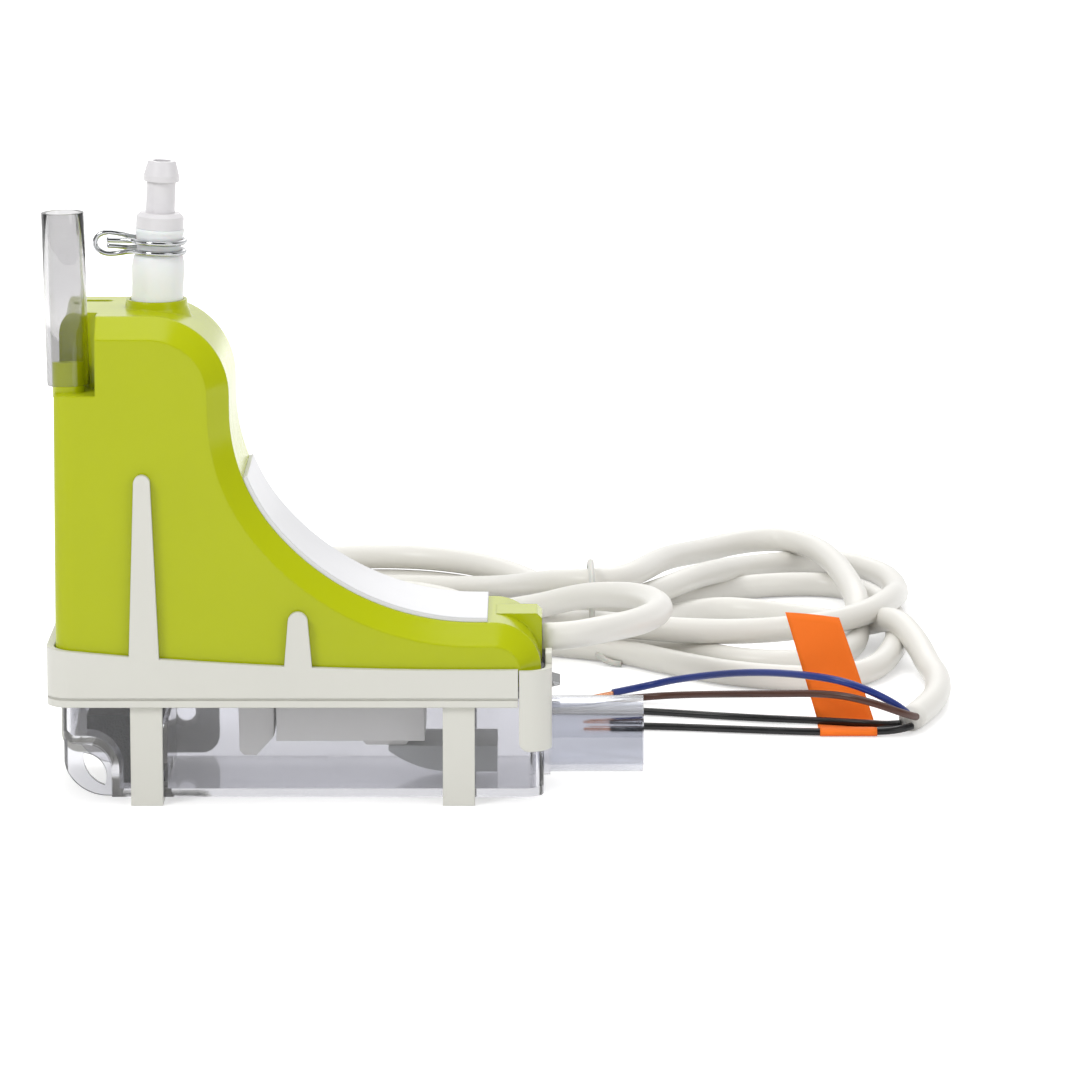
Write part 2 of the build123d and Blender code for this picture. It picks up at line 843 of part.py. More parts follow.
with BuildSketch(Plane.XZ) as strainer_outline:
    with BuildLine():
        bowl = ThreePointArc(
            (filter_left, filter_top - 1.1),
            (filter_left + 4.8, filter_top - 3.9),
            (filter_left + 14.3, filter_top - 5.7),
        )
        Polyline(
            bowl @ 1,
            (filter_right, filter_top - 5.7),
            (filter_right, filter_top),
            (filter_left, filter_top),
            bowl @ 0,
        )
    make_face()

with BuildPart() as strainer:
    extrude(strainer_outline.sketch, amount=filter_half, both=True)
    with BuildSketch(Plane.XZ) as strainer_inside:
        add(strainer_outline.sketch_local)
        offset(amount=-filter_wall, mode=Mode.REPLACE)
    extrude(amount=filter_half - filter_wall, both=True, mode=Mode.SUBTRACT)
    with BuildSketch(Plane.XY.offset(filter_top)):
        with Locations((suction_x, 0)):
            Circle(1.2)
    extrude(amount=-filter_wall - 0.3, mode=Mode.SUBTRACT)
strainer.part.label = "inlet_filter"
export_step(strainer.part, "parts/inlet_filter.step")

# ---------------------------------------------------------------- solenoid piston pump

yoke_foot = works_foot + mount_thickness
yoke_top = yoke_foot + yoke_height
cylinder_foot = yoke_foot - 9.0
cylinder_top = yoke_top + 7.0
cylinder_radius = cylinder_diameter / 2
bore_radius = cylinder_bore / 2
valve_radius = 4.6
valve_length = 4.0
valve_plug = 4.0
suction_level = cylinder_foot - 5.0
bobbin_flange = 2.0
bobbin_wall = 0.8
coil_radius = coil_diameter / 2

with BuildPart() as mounts:
    with BuildSketch(Plane.XY.offset(works_foot)):
        with Locations((discharge_x, -post_half), (discharge_x, post_half)):
            Circle(3.6)
    extrude(amount=mount_thickness)
mounts.part.label = "rubber_mounts"
export_step(mounts.part, "parts/rubber_mounts.step")

with BuildPart() as yoke:
    with BuildSketch(Plane.YZ.offset(discharge_x)):
        with Locations((0, (yoke_foot + yoke_top) / 2)):
            Rectangle(yoke_width, yoke_height)
            Rectangle(yoke_width - 2 * yoke_plate, yoke_height - 2 * yoke_plate, mode=Mode.SUBTRACT)
    extrude(amount=yoke_depth / 2, both=True)
    with BuildSketch(Plane.XY.offset(yoke_foot - 1)):
        with Locations((discharge_x, 0)):
            Circle(cylinder_radius + easy_fit)
    extrude(amount=yoke_height + 2, mode=Mode.SUBTRACT)
yoke.part.label = "solenoid_yoke"
export_step(yoke.part, "parts/solenoid_yoke.step")

bobbin_foot = yoke_foot + yoke_plate
bobbin_height = yoke_height - 2 * yoke_plate

with BuildPart() as bobbin:
    with BuildSketch(Plane.XY.offset(bobbin_foot)):
        with Locations((discharge_x, 0)):
            Circle(coil_radius + 0.4)
    extrude(amount=bobbin_flange)
    with BuildSketch(Plane.XY.offset(bobbin_foot + bobbin_height - bobbin_flange)):
        with Locations((discharge_x, 0)):
            Circle(coil_radius + 0.4)
    extrude(amount=bobbin_flange)
    with BuildSketch(Plane.XY.offset(bobbin_foot)):
        with Locations((discharge_x, 0)):
            Circle(cylinder_radius + easy_fit + bobbin_wall)
    extrude(amount=bobbin_height)
    with BuildSketch(Plane.XY.offset(bobbin_foot)):
        with Locations((discharge_x, 0)):
            Circle(cylinder_radius + easy_fit)
    extrude(amount=bobbin_height, mode=Mode.SUBTRACT)
bobbin.part.label = "coil_bobbin"
export_step(bobbin.part, "parts/coil_bobbin.step")

with BuildPart() as winding:
    with BuildSketch(Plane.XY.offset(bobbin_foot + bobbin_flange + close_fit)):
        with Locations((discharge_x, 0)):
            Circle(coil_radius)
            Circle(cylinder_radius + easy_fit + bobbin_wall + close_fit, mode=Mode.SUBTRACT)
    extrude(amount=bobbin_height - 2 * bobbin_flange - 2 * close_fit)
winding.part.label = "coil_winding"
export_step(winding.part, "parts/coil_winding.step")

with BuildPart() as cylinder:
    with BuildSketch(Plane.XY.offset(cylinder_foot)):
        with Locations((discharge_x, 0)):
            Circle(cylinder_radius)
            Circle(bore_radius, mode=Mode.SUBTRACT)
    extrude(amount=cylinder_top - cylinder_foot)
cylinder.part.label = "pump_cylinder"
export_step(cylinder.part, "parts/pump_cylinder.step")

with BuildPart() as piston:
    with BuildSketch(Plane.XY.offset(piston_foot)):
        with Locations((discharge_x, 0)):
            Circle(bore_radius - 0.3)
            Circle(0.9, mode=Mode.SUBTRACT)
    extrude(amount=piston_length)
piston.part.label = "piston"
export_step(piston.part, "parts/piston.step")


def spring_between(foot, top):
    """A compression spring on the pump's axis, with its wire between the two levels."""
    wire = spring_wire / 2
    with BuildPart() as spring:
        with BuildLine() as turns:
            Helix(
                pitch=2.2,
                height=top - foot - 2 * wire - 0.1,
                radius=bore_radius - 0.8,
                center=(discharge_x, 0, foot + wire + 0.05),
            )
        with BuildSketch(Plane(origin=turns.line @ 0, z_dir=turns.line % 0)):
            RegularPolygon(wire, 6)
        sweep(is_frenet=True)
    return spring.part


with BuildPart() as lower_spring:
    add(spring_between(cylinder_foot + valve_plug, piston_foot))
lower_spring.part.label = "lower_spring"
export_step(lower_spring.part, "parts/lower_spring.step")

with BuildPart() as upper_spring:
    add(spring_between(piston_foot + piston_length, cylinder_top - valve_plug))
upper_spring.part.label = "upper_spring"
export_step(upper_spring.part, "parts/upper_spring.step")

nipple_radius = suction_hose_bore / 2 - close_fit

with BuildPart() as inlet_valve:
    with BuildSketch(Plane.XY.offset(cylinder_foot - 2 * valve_length)):
        with Locations((discharge_x, 0)):
            Circle(valve_radius)
    extrude(amount=2 * valve_length)
    with BuildSketch(Plane.XY.offset(cylinder_foot)):
        with Locations((discharge_x, 0)):
            Circle(bore_radius - close_fit)
    extrude(amount=valve_plug)
    with BuildSketch(Plane.YZ.offset(discharge_x)):
        with Locations((0, suction_level)):
            Circle(nipple_radius)
    extrude(amount=valve_radius + 5.0)
    with BuildSketch(Plane.YZ.offset(discharge_x)):
        with Locations((0, suction_level)):
            Circle(0.9)
    extrude(amount=valve_radius + 6.0, mode=Mode.SUBTRACT)
    with BuildSketch(Plane.XY.offset(suction_level)):
        with Locations((discharge_x, 0)):
            Circle(0.9)
    extrude(amount=valve_plug + 6.0, mode=Mode.SUBTRACT)
inlet_valve.part.label = "inlet_valve"
export_step(inlet_valve.part, "parts/inlet_valve.step")

hose_foot = collar_top - 3.0

with BuildPart() as outlet_valve:
    with BuildSketch(Plane.XY.offset(cylinder_top)):
        with Locations((discharge_x, 0)):
            Circle(valve_radius)
    extrude(amount=valve_length)
    with BuildSketch(Plane.XY.offset(cylinder_top - valve_plug)):
        with Locations((discharge_x, 0)):
            Circle(bore_radius - close_fit)
    extrude(amount=valve_plug)
    with BuildSketch(Plane.XY.offset(cylinder_top)):
        with Locations((discharge_x, 0)):
            Circle(hose_plug)
    extrude(amount=hose_foot + 4.5 - cylinder_top)
    with BuildSketch(Plane.XY.offset(cylinder_top - valve_plug)):
        with Locations((discharge_x, 0)):
            Circle(1.2)
    extrude(amount=40, mode=Mode.SUBTRACT)
outlet_valve.part.label = "outlet_valve"
export_step(outlet_valve.part, "parts/outlet_valve.step")

with BuildPart() as suction_hose:
    with BuildLine() as hose_path:
        FilletPolyline(
            (suction_x, 0, base_top + 0.1),
            (suction_x, 0, suction_level),
            (discharge_x + valve_radius + 0.1, 0, suction_level),
            radius=5.0,
        )
    with BuildSketch(Plane.XY.offset(base_top + 0.1)):
        with Locations((suction_x, 0)):
            Circle(suction_hose_diameter / 2)
            Circle(suction_hose_bore / 2, mode=Mode.SUBTRACT)
    sweep()
suction_hose.part.label = "suction_hose"
export_step(suction_hose.part, "parts/suction_hose.step")

# ---------------------------------------------------------------- electronics

board_face = yoke_width / 2 + 1.0
board_thickness = 1.6
board_left = cover_left + 5.0
board_width = 22.0
board_top = base_top + 66.0

with BuildPart() as board:
    with BuildSketch(Plane.XZ.offset(-board_face)):
        with Locations((board_left + board_width / 2, (base_top + board_top) / 2)):
            Rectangle(board_width, board_top - base_top)
    extrude(amount=-board_thickness)
board.part.label = "circuit_board"
export_step(board.part, "parts/circuit_board.step")

with BuildPart() as board_parts:
    with BuildSketch(Plane.XZ.offset(-board_face)):
        with Locations((board_left + 6, base_top + 9)):
            Rectangle(10, 8)
    extrude(amount=6)
    with BuildSketch(Plane.XZ.offset(-board_face)):
        with Locations((board_left + 6, board_top - 5)):
            Circle(4)
    extrude(amount=8)
    with BuildSketch(Plane.XZ.offset(-board_face)):
        with Locations((board_left + 17, board_top - 4)):
            Rectangle(5, 4)
    extrude(amount=2)
board_parts.part.label = "board_parts"
export_step(board_parts.part, "parts/board_parts.step")

with BuildPart() as sensor:
    with BuildSketch(Plane.XY.offset(base_top)):
        with Locations((float_middle, 0)):
            Rectangle(8, 5)
    extrude(amount=3.0)
sensor.part.label = "level_sensor"
export_step(sensor.part, "parts/level_sensor.step")

with BuildPart() as screws:
    for row in screw_rows:
        for side in (-1, 1):
            with BuildSketch(Plane.XY.offset(cover_bottom)):
                with Locations((row, side * screw_half)):
                    Circle(screw_head_radius)
            extrude(amount=-1.6)
            with BuildSketch(Plane.XY.offset(cover_bottom)):
                with Locations((row, side * screw_half)):
                    Circle(screw_radius)
            extrude(amount=7.0)
            with BuildSketch(Plane.XY.offset(cover_bottom - 1.6)):
                with Locations((row, side * screw_half)):
                    Rectangle(3.2, 0.7)
                    Rectangle(0.7, 3.2)
            extrude(amount=0.9, mode=Mode.SUBTRACT)
screws.part.label = "cover_screws"
export_step(screws.part, "parts/cover_screws.step")

# ---------------------------------------------------------------- discharge hose and adaptor

lean = radians(discharge_lean)
lean_up = (sin(lean), 0, cos(lean))
lean_origin = (discharge_x, 0, hose_foot)
lean_plane = Plane(origin=lean_origin, x_dir=(cos(lean), 0, -sin(lean)), z_dir=(0, -1, 0))
lean_axis = Axis(lean_origin, lean_up)
hose_top = hose_length

with BuildPart() as hose:
    with BuildSketch(lean_plane):
        with BuildLine():
            skin = Spline(
                (hose_radius + 0.2, 0),
                (hose_radius + 0.3, 3.4),
                (hose_radius + 0.1, 7.6),
                (hose_radius + 0.3, 11.4),
                (hose_radius - 0.1, 13.2),
                (hose_radius - 0.1, 15.8),
                (hose_radius, hose_top),
            )
            Polyline(skin @ 1, (hose_bore / 2, hose_top), (hose_bore / 2, 0), skin @ 0)
        make_face()
    revolve(axis=lean_axis)
hose.part.label = "discharge_hose"
export_step(hose.part, "parts/discharge_hose.step")

stem_foot = hose_top + shoulder_length
barb_foot = stem_foot + stem_length

with BuildPart() as adaptor:
    with BuildSketch(lean_plane):
        with BuildLine():
            Polyline(
                (adaptor_bore / 2, hose_top - 9.0),
                (hose_plug - 0.3, hose_top - 9.0),
                (hose_plug, hose_top - 8.0),
                (hose_plug, hose_top),
                (shoulder_diameter / 2, hose_top),
                (shoulder_diameter / 2, stem_foot - 0.8),
                (shoulder_diameter / 2 - 0.8, stem_foot),
                (stem_diameter / 2, stem_foot),
                (stem_diameter / 2, barb_foot),
                (barb_diameter / 2, barb_foot),
                (barb_diameter / 2, barb_foot + barb_land),
                (barb_tip_diameter / 2, barb_foot + barb_length),
                (adaptor_bore / 2, barb_foot + barb_length),
                close=True,
            )
        make_face()
    revolve(axis=lean_axis)
adaptor.part.label = "discharge_adaptor"
export_step(adaptor.part, "parts/discharge_adaptor.step")

clip_levels = (13.2, 15.7)
clip_ring = hose_radius + clip_wire / 2 + 0.05
handle_reach = 12.9
handle_half = 2.2

with BuildPart() as hose_clip:
    with BuildSketch(lean_plane):
        with Locations((clip_ring, clip_levels[0]), (clip_ring, clip_levels[1])):
            Circle(clip_wire / 2)
    revolve(axis=lean_axis)
    # outer loop of the handle
    with BuildLine(lean_plane) as handle:
        FilletPolyline(
            (-clip_ring, clip_levels[1]),
            (-clip_ring - 1.4, sum(clip_levels) / 2 + handle_half),
            (-handle_reach, sum(clip_levels) / 2 + handle_half),
            (-handle_reach, sum(clip_levels) / 2 - handle_half),
            (-clip_ring - 1.4, sum(clip_levels) / 2 - handle_half),
            (-clip_ring, clip_levels[0]),
            radius=0.9,
        )
    with BuildSketch(Plane(origin=handle.line @ 0, z_dir=handle.line % 0)):
        Circle(clip_wire / 2)
    sweep(path=handle.line)
    # straight ends inside the loop
    for level in clip_levels:
        with BuildSketch(Plane.YZ.offset(discharge_x - handle_reach + 2.6)):
            with Locations((0, hose_foot + level * cos(lean))):
                Circle(clip_wire / 2)
        extrude(amount=handle_reach - 2.6 - clip_ring + 0.9)
hose_clip.part.label = "hose_clip"
export_step(hose_clip.part, "parts/hose_clip.step")

# ---------------------------------------------------------------- breather tube

tilt = radians(breather_lean)
breather_plane = Plane(
    origin=(spigot_x, spigot_y, notch_floor + spigot_height - 2.6),
    x_dir=(cos(tilt), 0, sin(tilt)),
    z_dir=(-sin(tilt), 0, cos(tilt)),
)
breather_below = spigot_height - 2.6 - 1.6

with BuildPart() as breather:
    with BuildSketch(breather_plane.offset(-breather_below)):
        Circle(breather_diameter / 2)
        Circle(breather_bore / 2, mode=Mode.SUBTRACT)
    extrude(amount=breather_length)
breather.part.label = "breather_tube"
export_step(breather.part, "parts/breather_tube.step")

# ---------------------------------------------------------------- lead

gland_radius = 4.1
box_face = cover_right + 0.2

with BuildPart() as gland:
    with BuildSketch(Plane.YZ.offset(cover_right - outlet_length + 1)):
        with Locations((0, outlet_height)):
            Circle(gland_radius)
    extrude(amount=outlet_length - 3.0 - close_fit)
    with BuildSketch(Plane.YZ.offset(cover_right - 3)):
        with Locations((0, outlet_height)):
            Circle(lead_diameter / 2)
    extrude(amount=box_face - cover_right + 3)
gland.part.label = "cable_gland"
export_step(gland.part, "parts/cable_gland.step")


def tube_along(name, points, diameter):
    """A round tube along a route of points, bent as softly as its runs allow."""
    route = [Vector(*point) for point in points]
    bends = []
    for before, here, after in zip(route, route[1:], route[2:]):
        run_in = here - before
        run_out = after - here
        turn = radians(run_in.get_angle(run_out))
        bends.append(0.45 * min(run_in.length, run_out.length) / tan(turn / 2))
    with BuildPart() as tube:
        with BuildLine() as path:
            FilletPolyline(*route, radius=bends)
        with BuildSketch(Plane(origin=path.line @ 0, z_dir=path.line % 0)):
            Circle(diameter / 2)
        sweep()
    length = path.wires()[0].length
    filled = tube.part.volume / (pi * diameter**2 / 4 * length)
    print(name, "length", round(length, 1), "tightest bend", round(min(bends), 1))
    print(name, "volume over section times length", round(filled, 4))
    return tube.part


lying = lead_diameter / 2 + 0.1
lead_away = (
    (box_face + close_fit, 0, outlet_height),
    (47.8, 0, outlet_height),
    (56, 7.4, outlet_height),
    (63.5, 23, 31),
    (68.3, 42, 29),
    (69.6, 64, 26.3),
    (65.7, 90, 23.2),
    (57, 109, 19.6),
    (50.2, 118, 17),
)
with BuildPart() as lead_start:
    add(tube_along("lead_start", lead_away, lead_diameter))
lead_start.part.label = "lead_start"
export_step(lead_start.part, "parts/lead_start.step")

with BuildPart() as hank:
    with BuildSketch():
        with Locations((112, 218)):
            Circle(13)
        with Locations((121, 192)):
            Circle(13.5)
        with Locations((118, 112)):
            Circle(14)
        with Locations((111, 97)):
            Circle(13)
        with Locations((92, 102)):
            Circle(12)
        with Locations((66, 133)):
            Circle(13)
        make_hull()
    extrude(amount=16)
    with BuildSketch():
        with Locations((48, 136)):
            Circle(13)
        with Locations((2, 172)):
            Circle(37.5)
        make_hull()
    extrude(amount=13)
    with BuildSketch():
        with Locations((44, 137), (66, 134)):
            Circle(12)
        make_hull()
    extrude(amount=20)
hank.part.label = "lead_hank"
export_step(hank.part, "parts/lead_hank.step")

lead_end = (
    (133.0, 107, lying),
    (134.6, 93, lying),
    (133.4, 76, lying),
    (130.0, 62, lying),
    (125.5, 49.9, lying),
)
with BuildPart() as lead_tail:
    add(tube_along("lead_tail", lead_end, lead_diameter))
lead_tail.part.label = "lead_tail"
export_step(lead_tail.part, "parts/lead_tail.step")

core_low = core_diameter / 2 + 0.1
core_routes = {
    "core_blue": (
        (124.6, 49.2, 4.6),
        (122.4, 45.8, 7.3),
        (113, 46, 11.9),
        (104, 51, 12.9),
        (90, 69, 9.9),
        (75, 85, 4.8),
        (66, 90, 1.6),
        (59, 86.5, core_low),
    ),
    "core_brown": (
        (126.6, 48.7, 3.9),
        (123.4, 43.6, 5.8),
        (117, 43.6, 8.2),
        (108, 46.5, 9.8),
        (93.5, 58, 7.1),
        (75, 76, 2.9),
        (66, 80.5, 1.3),
        (58, 78.5, core_low),
    ),
    "core_black_1": (
        (123.2, 49.9, 2.1),
        (120.4, 50.8, 1.6),
        (115.8, 54.6, 1.1),
        (104.4, 58, core_low),
        (88, 61, core_low),
        (66, 67.6, core_low),
        (58, 68.6, core_low),
    ),
    "core_black_2": (
        (125.6, 49.0, 1.7),
        (122.6, 46.4, 1.3),
        (116.2, 46.6, core_low),
        (103.8, 46.2, core_low),
        (87.5, 49, core_low),
        (66, 52.6, core_low),
        (58, 52.6, core_low),
    ),
}

with BuildPart() as core_blue:
    add(tube_along("core_blue", core_routes["core_blue"], core_diameter))
core_blue.part.label = "core_blue"
export_step(core_blue.part, "parts/core_blue.step")

with BuildPart() as core_brown:
    add(tube_along("core_brown", core_routes["core_brown"], core_diameter))
core_brown.part.label = "core_brown"
export_step(core_brown.part, "parts/core_brown.step")

with BuildPart() as core_black_1:
    add(tube_along("core_black_1", core_routes["core_black_1"], core_diameter))
core_black_1.part.label = "core_black_1"
export_step(core_black_1.part, "parts/core_black_1.step")

with BuildPart() as core_black_2:
    add(tube_along("core_black_2", core_routes["core_black_2"], core_diameter))
core_black_2.part.label = "core_black_2"
export_step(core_black_2.part, "parts/core_black_2.step")

with BuildPart() as bare_ends:
    for route in core_routes.values():
        tip = Vector(*route[-1])
        heading = tip - Vector(*route[-2])
        with BuildSketch(Plane(origin=tip, z_dir=(heading.X, heading.Y, 0))):
            Circle(bare_diameter / 2)
        extrude(amount=bare_length)
bare_ends.part.label = "bare_ends"
export_step(bare_ends.part, "parts/bare_ends.step")

tie_plane = Plane(origin=(54, 135.2, 0), x_dir=(0, 1, 0), z_dir=(1, 0, 0))

with BuildPart() as tie:
    with BuildSketch(tie_plane):
        with Locations((0, 10.9)):
            RectangleRounded(27, 21.4, 8)
            RectangleRounded(25.4, 19.8, 7, mode=Mode.SUBTRACT)
    extrude(amount=1.2, both=True)
tie.part.label = "cable_tie"
export_step(tie.part, "parts/cable_tie.step")

flag_plane = Plane.XZ.offset(-60.0)

with BuildPart() as flag:
    with BuildSketch(flag_plane):
        with BuildLine():
            Polyline((104.9, 0.2), (117.7, 0.2), (109.8, 27), (97.6, 27), close=True)
        make_face()
    extrude(amount=0.5)
    with BuildSketch(Plane.XY.offset(0.02)):
        with BuildLine():
            Polyline((104.9, 45.0), (117.7, 45.0), (117.7, 60.0), (104.9, 60.0), close=True)
        make_face()
    extrude(amount=0.4)
flag.part.label = "flag_label"
export_step(flag.part, "parts/flag_label.step")
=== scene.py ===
"""Looks of a condensate pump: clear tank, lime cover, white cradle, tied lead and its four cores."""

import logging
import math
from dataclasses import dataclass
from enum import Enum

import bmesh
import bpy
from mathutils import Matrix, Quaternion, Vector


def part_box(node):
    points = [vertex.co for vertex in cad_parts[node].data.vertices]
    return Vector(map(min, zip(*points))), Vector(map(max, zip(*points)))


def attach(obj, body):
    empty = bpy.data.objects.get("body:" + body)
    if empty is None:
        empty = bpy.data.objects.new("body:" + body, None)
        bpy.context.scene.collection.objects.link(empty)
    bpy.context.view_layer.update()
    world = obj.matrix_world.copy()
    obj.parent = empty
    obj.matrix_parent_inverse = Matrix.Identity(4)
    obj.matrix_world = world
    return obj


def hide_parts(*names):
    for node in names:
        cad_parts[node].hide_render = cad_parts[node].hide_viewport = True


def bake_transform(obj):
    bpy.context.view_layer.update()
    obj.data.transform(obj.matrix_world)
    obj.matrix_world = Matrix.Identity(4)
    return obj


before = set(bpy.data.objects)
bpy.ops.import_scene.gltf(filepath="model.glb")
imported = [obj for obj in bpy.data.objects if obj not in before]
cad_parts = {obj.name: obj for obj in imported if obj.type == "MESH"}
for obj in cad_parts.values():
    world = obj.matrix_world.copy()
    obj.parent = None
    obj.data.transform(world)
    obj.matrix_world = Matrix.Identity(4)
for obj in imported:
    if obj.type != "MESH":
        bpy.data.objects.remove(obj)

LOG = logging.getLogger("condensate_pump")
MM = 0.001
WELD = 0.000002
FLAT_ANGLE = math.radians(1.0)
CREASE_ANGLE = math.radians(40)
EDGE_SAMPLES = 5
CURVE_ORDER = 3
CURVE_STEPS = 8
WIRE_SIDES = 6

Point = tuple[float, float, float]
Route = tuple[Point, ...]
Tree = bpy.types.NodeTree
Node = bpy.types.Node
Socket = bpy.types.NodeSocket
Mesh = bpy.types.Mesh
Piece = bpy.types.Object
Finish = bpy.types.Material
Finishes = dict[str, bpy.types.Material]


class Body(Enum):
    """Bodies that a piece can ride on."""

    CRADLE = "cradle"
    PUMP = "pump"
    FLOAT = "float"
    PISTON = "piston"


class Gloss(Enum):
    """How polished a moulded surface is, as roughness."""

    POLISHED = 0.16
    SATIN = 0.34
    FINE_SPARK = 0.48
    MATT = 0.7


# ---------------------------------------------------------------- making node trees


def feed(tree: Tree, socket: Socket, value: object) -> None:
    """Links an input to another socket, or gives it a plain value.

    Args:
        tree: the tree that holds them.
        socket: the input.
        value: a socket, a number, a vector, a material, or a colour of three numbers.
    """
    if isinstance(value, Socket):
        tree.links.new(value, socket)
    elif socket.type == "RGBA":
        socket.default_value = (*value, 1.0)
    else:
        socket.default_value = value


def set_inputs(tree: Tree, node: Node, **values: object) -> Node:
    """Feeds a node's inputs.

    Args:
        tree: the tree that holds the node.
        node: the node.
        values: what feed takes, by the input's name with underscores for spaces.

    Returns:
        The same node.
    """
    for label, value in values.items():
        feed(tree, node.inputs[label.replace("_", " ")], value)
    return node


def add_node(tree: Tree, kind: str, **values: object) -> Node:
    """Adds a node of a type and feeds its inputs, as set_inputs does."""
    return set_inputs(tree, tree.nodes.new(kind), **values)


def find_node(tree: Tree, kind: str) -> Node:
    """Returns a tree's first node of a kind, such as OUTPUT_MATERIAL."""
    return next(node for node in tree.nodes if node.type == kind)


def new_group(name: str, kind: str, inputs: tuple, outputs: tuple) -> tuple[Tree, Node, Node]:
    """Makes a node group with named inputs and outputs.

    Args:
        name: the group's name.
        kind: the tree's type.
        inputs: each input's name, socket kind and, where it has one, default.
        outputs: each output's name and socket kind.

    Returns:
        The tree, its input node and its output node.
    """
    tree = bpy.data.node_groups.new(name, kind)
    for label, socket_kind, *default in inputs:
        socket = tree.interface.new_socket(label, in_out="INPUT", socket_type=f"NodeSocket{socket_kind}")
        if default:
            socket.default_value = default[0]
    for label, socket_kind in outputs:
        tree.interface.new_socket(label, in_out="OUTPUT", socket_type=f"NodeSocket{socket_kind}")
    return tree, tree.nodes.new("NodeGroupInput"), tree.nodes.new("NodeGroupOutput")


def object_place(tree: Tree) -> Socket:
    """Returns the place on the object, in metres, as a vector socket."""
    return tree.nodes.new("ShaderNodeTexCoord").outputs["Object"]


def axis_of(tree: Tree, vector: Socket, axis: str) -> Socket:
    """Returns the X, Y or Z of a vector socket."""
    return add_node(tree, "ShaderNodeSeparateXYZ", Vector=vector).outputs[axis]


def grey_of(tree: Tree, level: Socket) -> Socket:
    """Returns a grey colour of a given level."""
    return add_node(tree, "ShaderNodeCombineColor", Red=level, Green=level, Blue=level).outputs[0]


def noise(tree: Tree, scale: object, detail: float = 2.0) -> Socket:
    """Adds a noise from 0 to 1 on Object coordinates, scaled in cells per metre."""
    node = add_node(tree, "ShaderNodeTexNoise", Vector=object_place(tree), Scale=scale, Detail=detail)
    return node.outputs["Fac"]


def maths(tree: Tree, operation: str, a: object, b: object = 0.0, clamp: bool = False) -> Socket:
    """Adds a Math node whose inputs are sockets or plain numbers.

    Args:
        tree: the tree to add to.
        operation: the Math node's operation.
        a: the first input.
        b: the second input.
        clamp: whether the result stays from 0 to 1.

    Returns:
        The output socket.
    """
    node = tree.nodes.new("ShaderNodeMath")
    node.operation = operation
    node.use_clamp = clamp
    feed(tree, node.inputs[0], a)
    feed(tree, node.inputs[1], b)
    return node.outputs[0]


def ramp(tree: Tree, value: object, start: object, gain: float) -> Socket:
    """Adds a level that climbs from 0 at a start value to 1, at a given gain."""
    return maths(tree, "MULTIPLY", maths(tree, "SUBTRACT", value, start), gain, clamp=True)


def swing(tree: Tree, value: Socket, spread: Socket, middle: object, clamp: bool = False) -> Socket:
    """Adds a level that swings about its middle by a spread, as a noise does about a half."""
    shift = maths(tree, "MULTIPLY", maths(tree, "SUBTRACT", value, 0.5), spread)
    return maths(tree, "ADD", shift, middle, clamp)


def mix_colour(tree: Tree, factor: object, a: object, b: object, blend: str = "MIX") -> Socket:
    """Adds a colour Mix node whose inputs are sockets or plain values.

    Args:
        tree: the tree to add to.
        factor: how much of b there is.
        a: the first colour.
        b: the second colour.
        blend: the blend type.

    Returns:
        The output socket.
    """
    node = tree.nodes.new("ShaderNodeMix")
    node.data_type = "RGBA"
    node.blend_type = blend
    for index, value in ((0, factor), (6, a), (7, b)):
        feed(tree, node.inputs[index], value)
    return node.outputs[2]


# ---------------------------------------------------------------- shader groups


class ShaderGroup:
    """A shader node group with named inputs and outputs, built once and placed in many materials."""

    name: str = ""
    inputs: tuple[tuple[str, str, object], ...] = ()
    outputs: tuple[tuple[str, str], ...] = ()

    @classmethod
    def tree(cls) -> Tree:
        """Returns the group's node tree, building it the first time."""
        found = bpy.data.node_groups.get(cls.name)
        if found is not None:
            return found
        tree, given, result = new_group(cls.name, "ShaderNodeTree", cls.inputs, cls.outputs)
        set_inputs(tree, result, **cls.fill(tree, given))
        return tree

    @classmethod
    def fill(cls, tree: Tree, given: Node) -> dict[str, Socket]:
        """Adds the group's own nodes.

        Args:
            tree: the tree to fill.
            given: the group's input node.

        Returns:
            The socket that feeds each output, by the output's name.
        """
        raise NotImplementedError


class MouldedSkin(ShaderGroup):
    """Slow shade changes, uneven gloss and the fine grain of a moulded surface."""

    name = "moulded_skin"
    inputs = (
        ("Colour", "Color", (0.8, 0.8, 0.8, 1.0)),
        ("Shade Spread", "Float", 0.04),
        ("Roughness", "Float", 0.35),
        ("Gloss Spread", "Float", 0.08),
        ("Grain Size", "Float", 2600.0),
    )
    outputs = (("Colour", "Color"), ("Roughness", "Float"), ("Height", "Float"))
    shade_cells = 34.0
    gloss_cells = 90.0

    @classmethod
    def fill(cls, tree: Tree, given: Node) -> dict[str, Socket]:
        """Adds the skin's nodes, as ShaderGroup.fill says."""
        put = given.outputs
        shade = swing(tree, noise(tree, cls.shade_cells), put["Shade Spread"], 1.0)
        patch = noise(tree, cls.gloss_cells, detail=4.0)
        return {
            "Colour": mix_colour(tree, 1.0, put["Colour"], grey_of(tree, shade), "MULTIPLY"),
            "Roughness": swing(tree, patch, put["Gloss Spread"], put["Roughness"], clamp=True),
            "Height": noise(tree, put["Grain Size"], detail=1.0),
        }


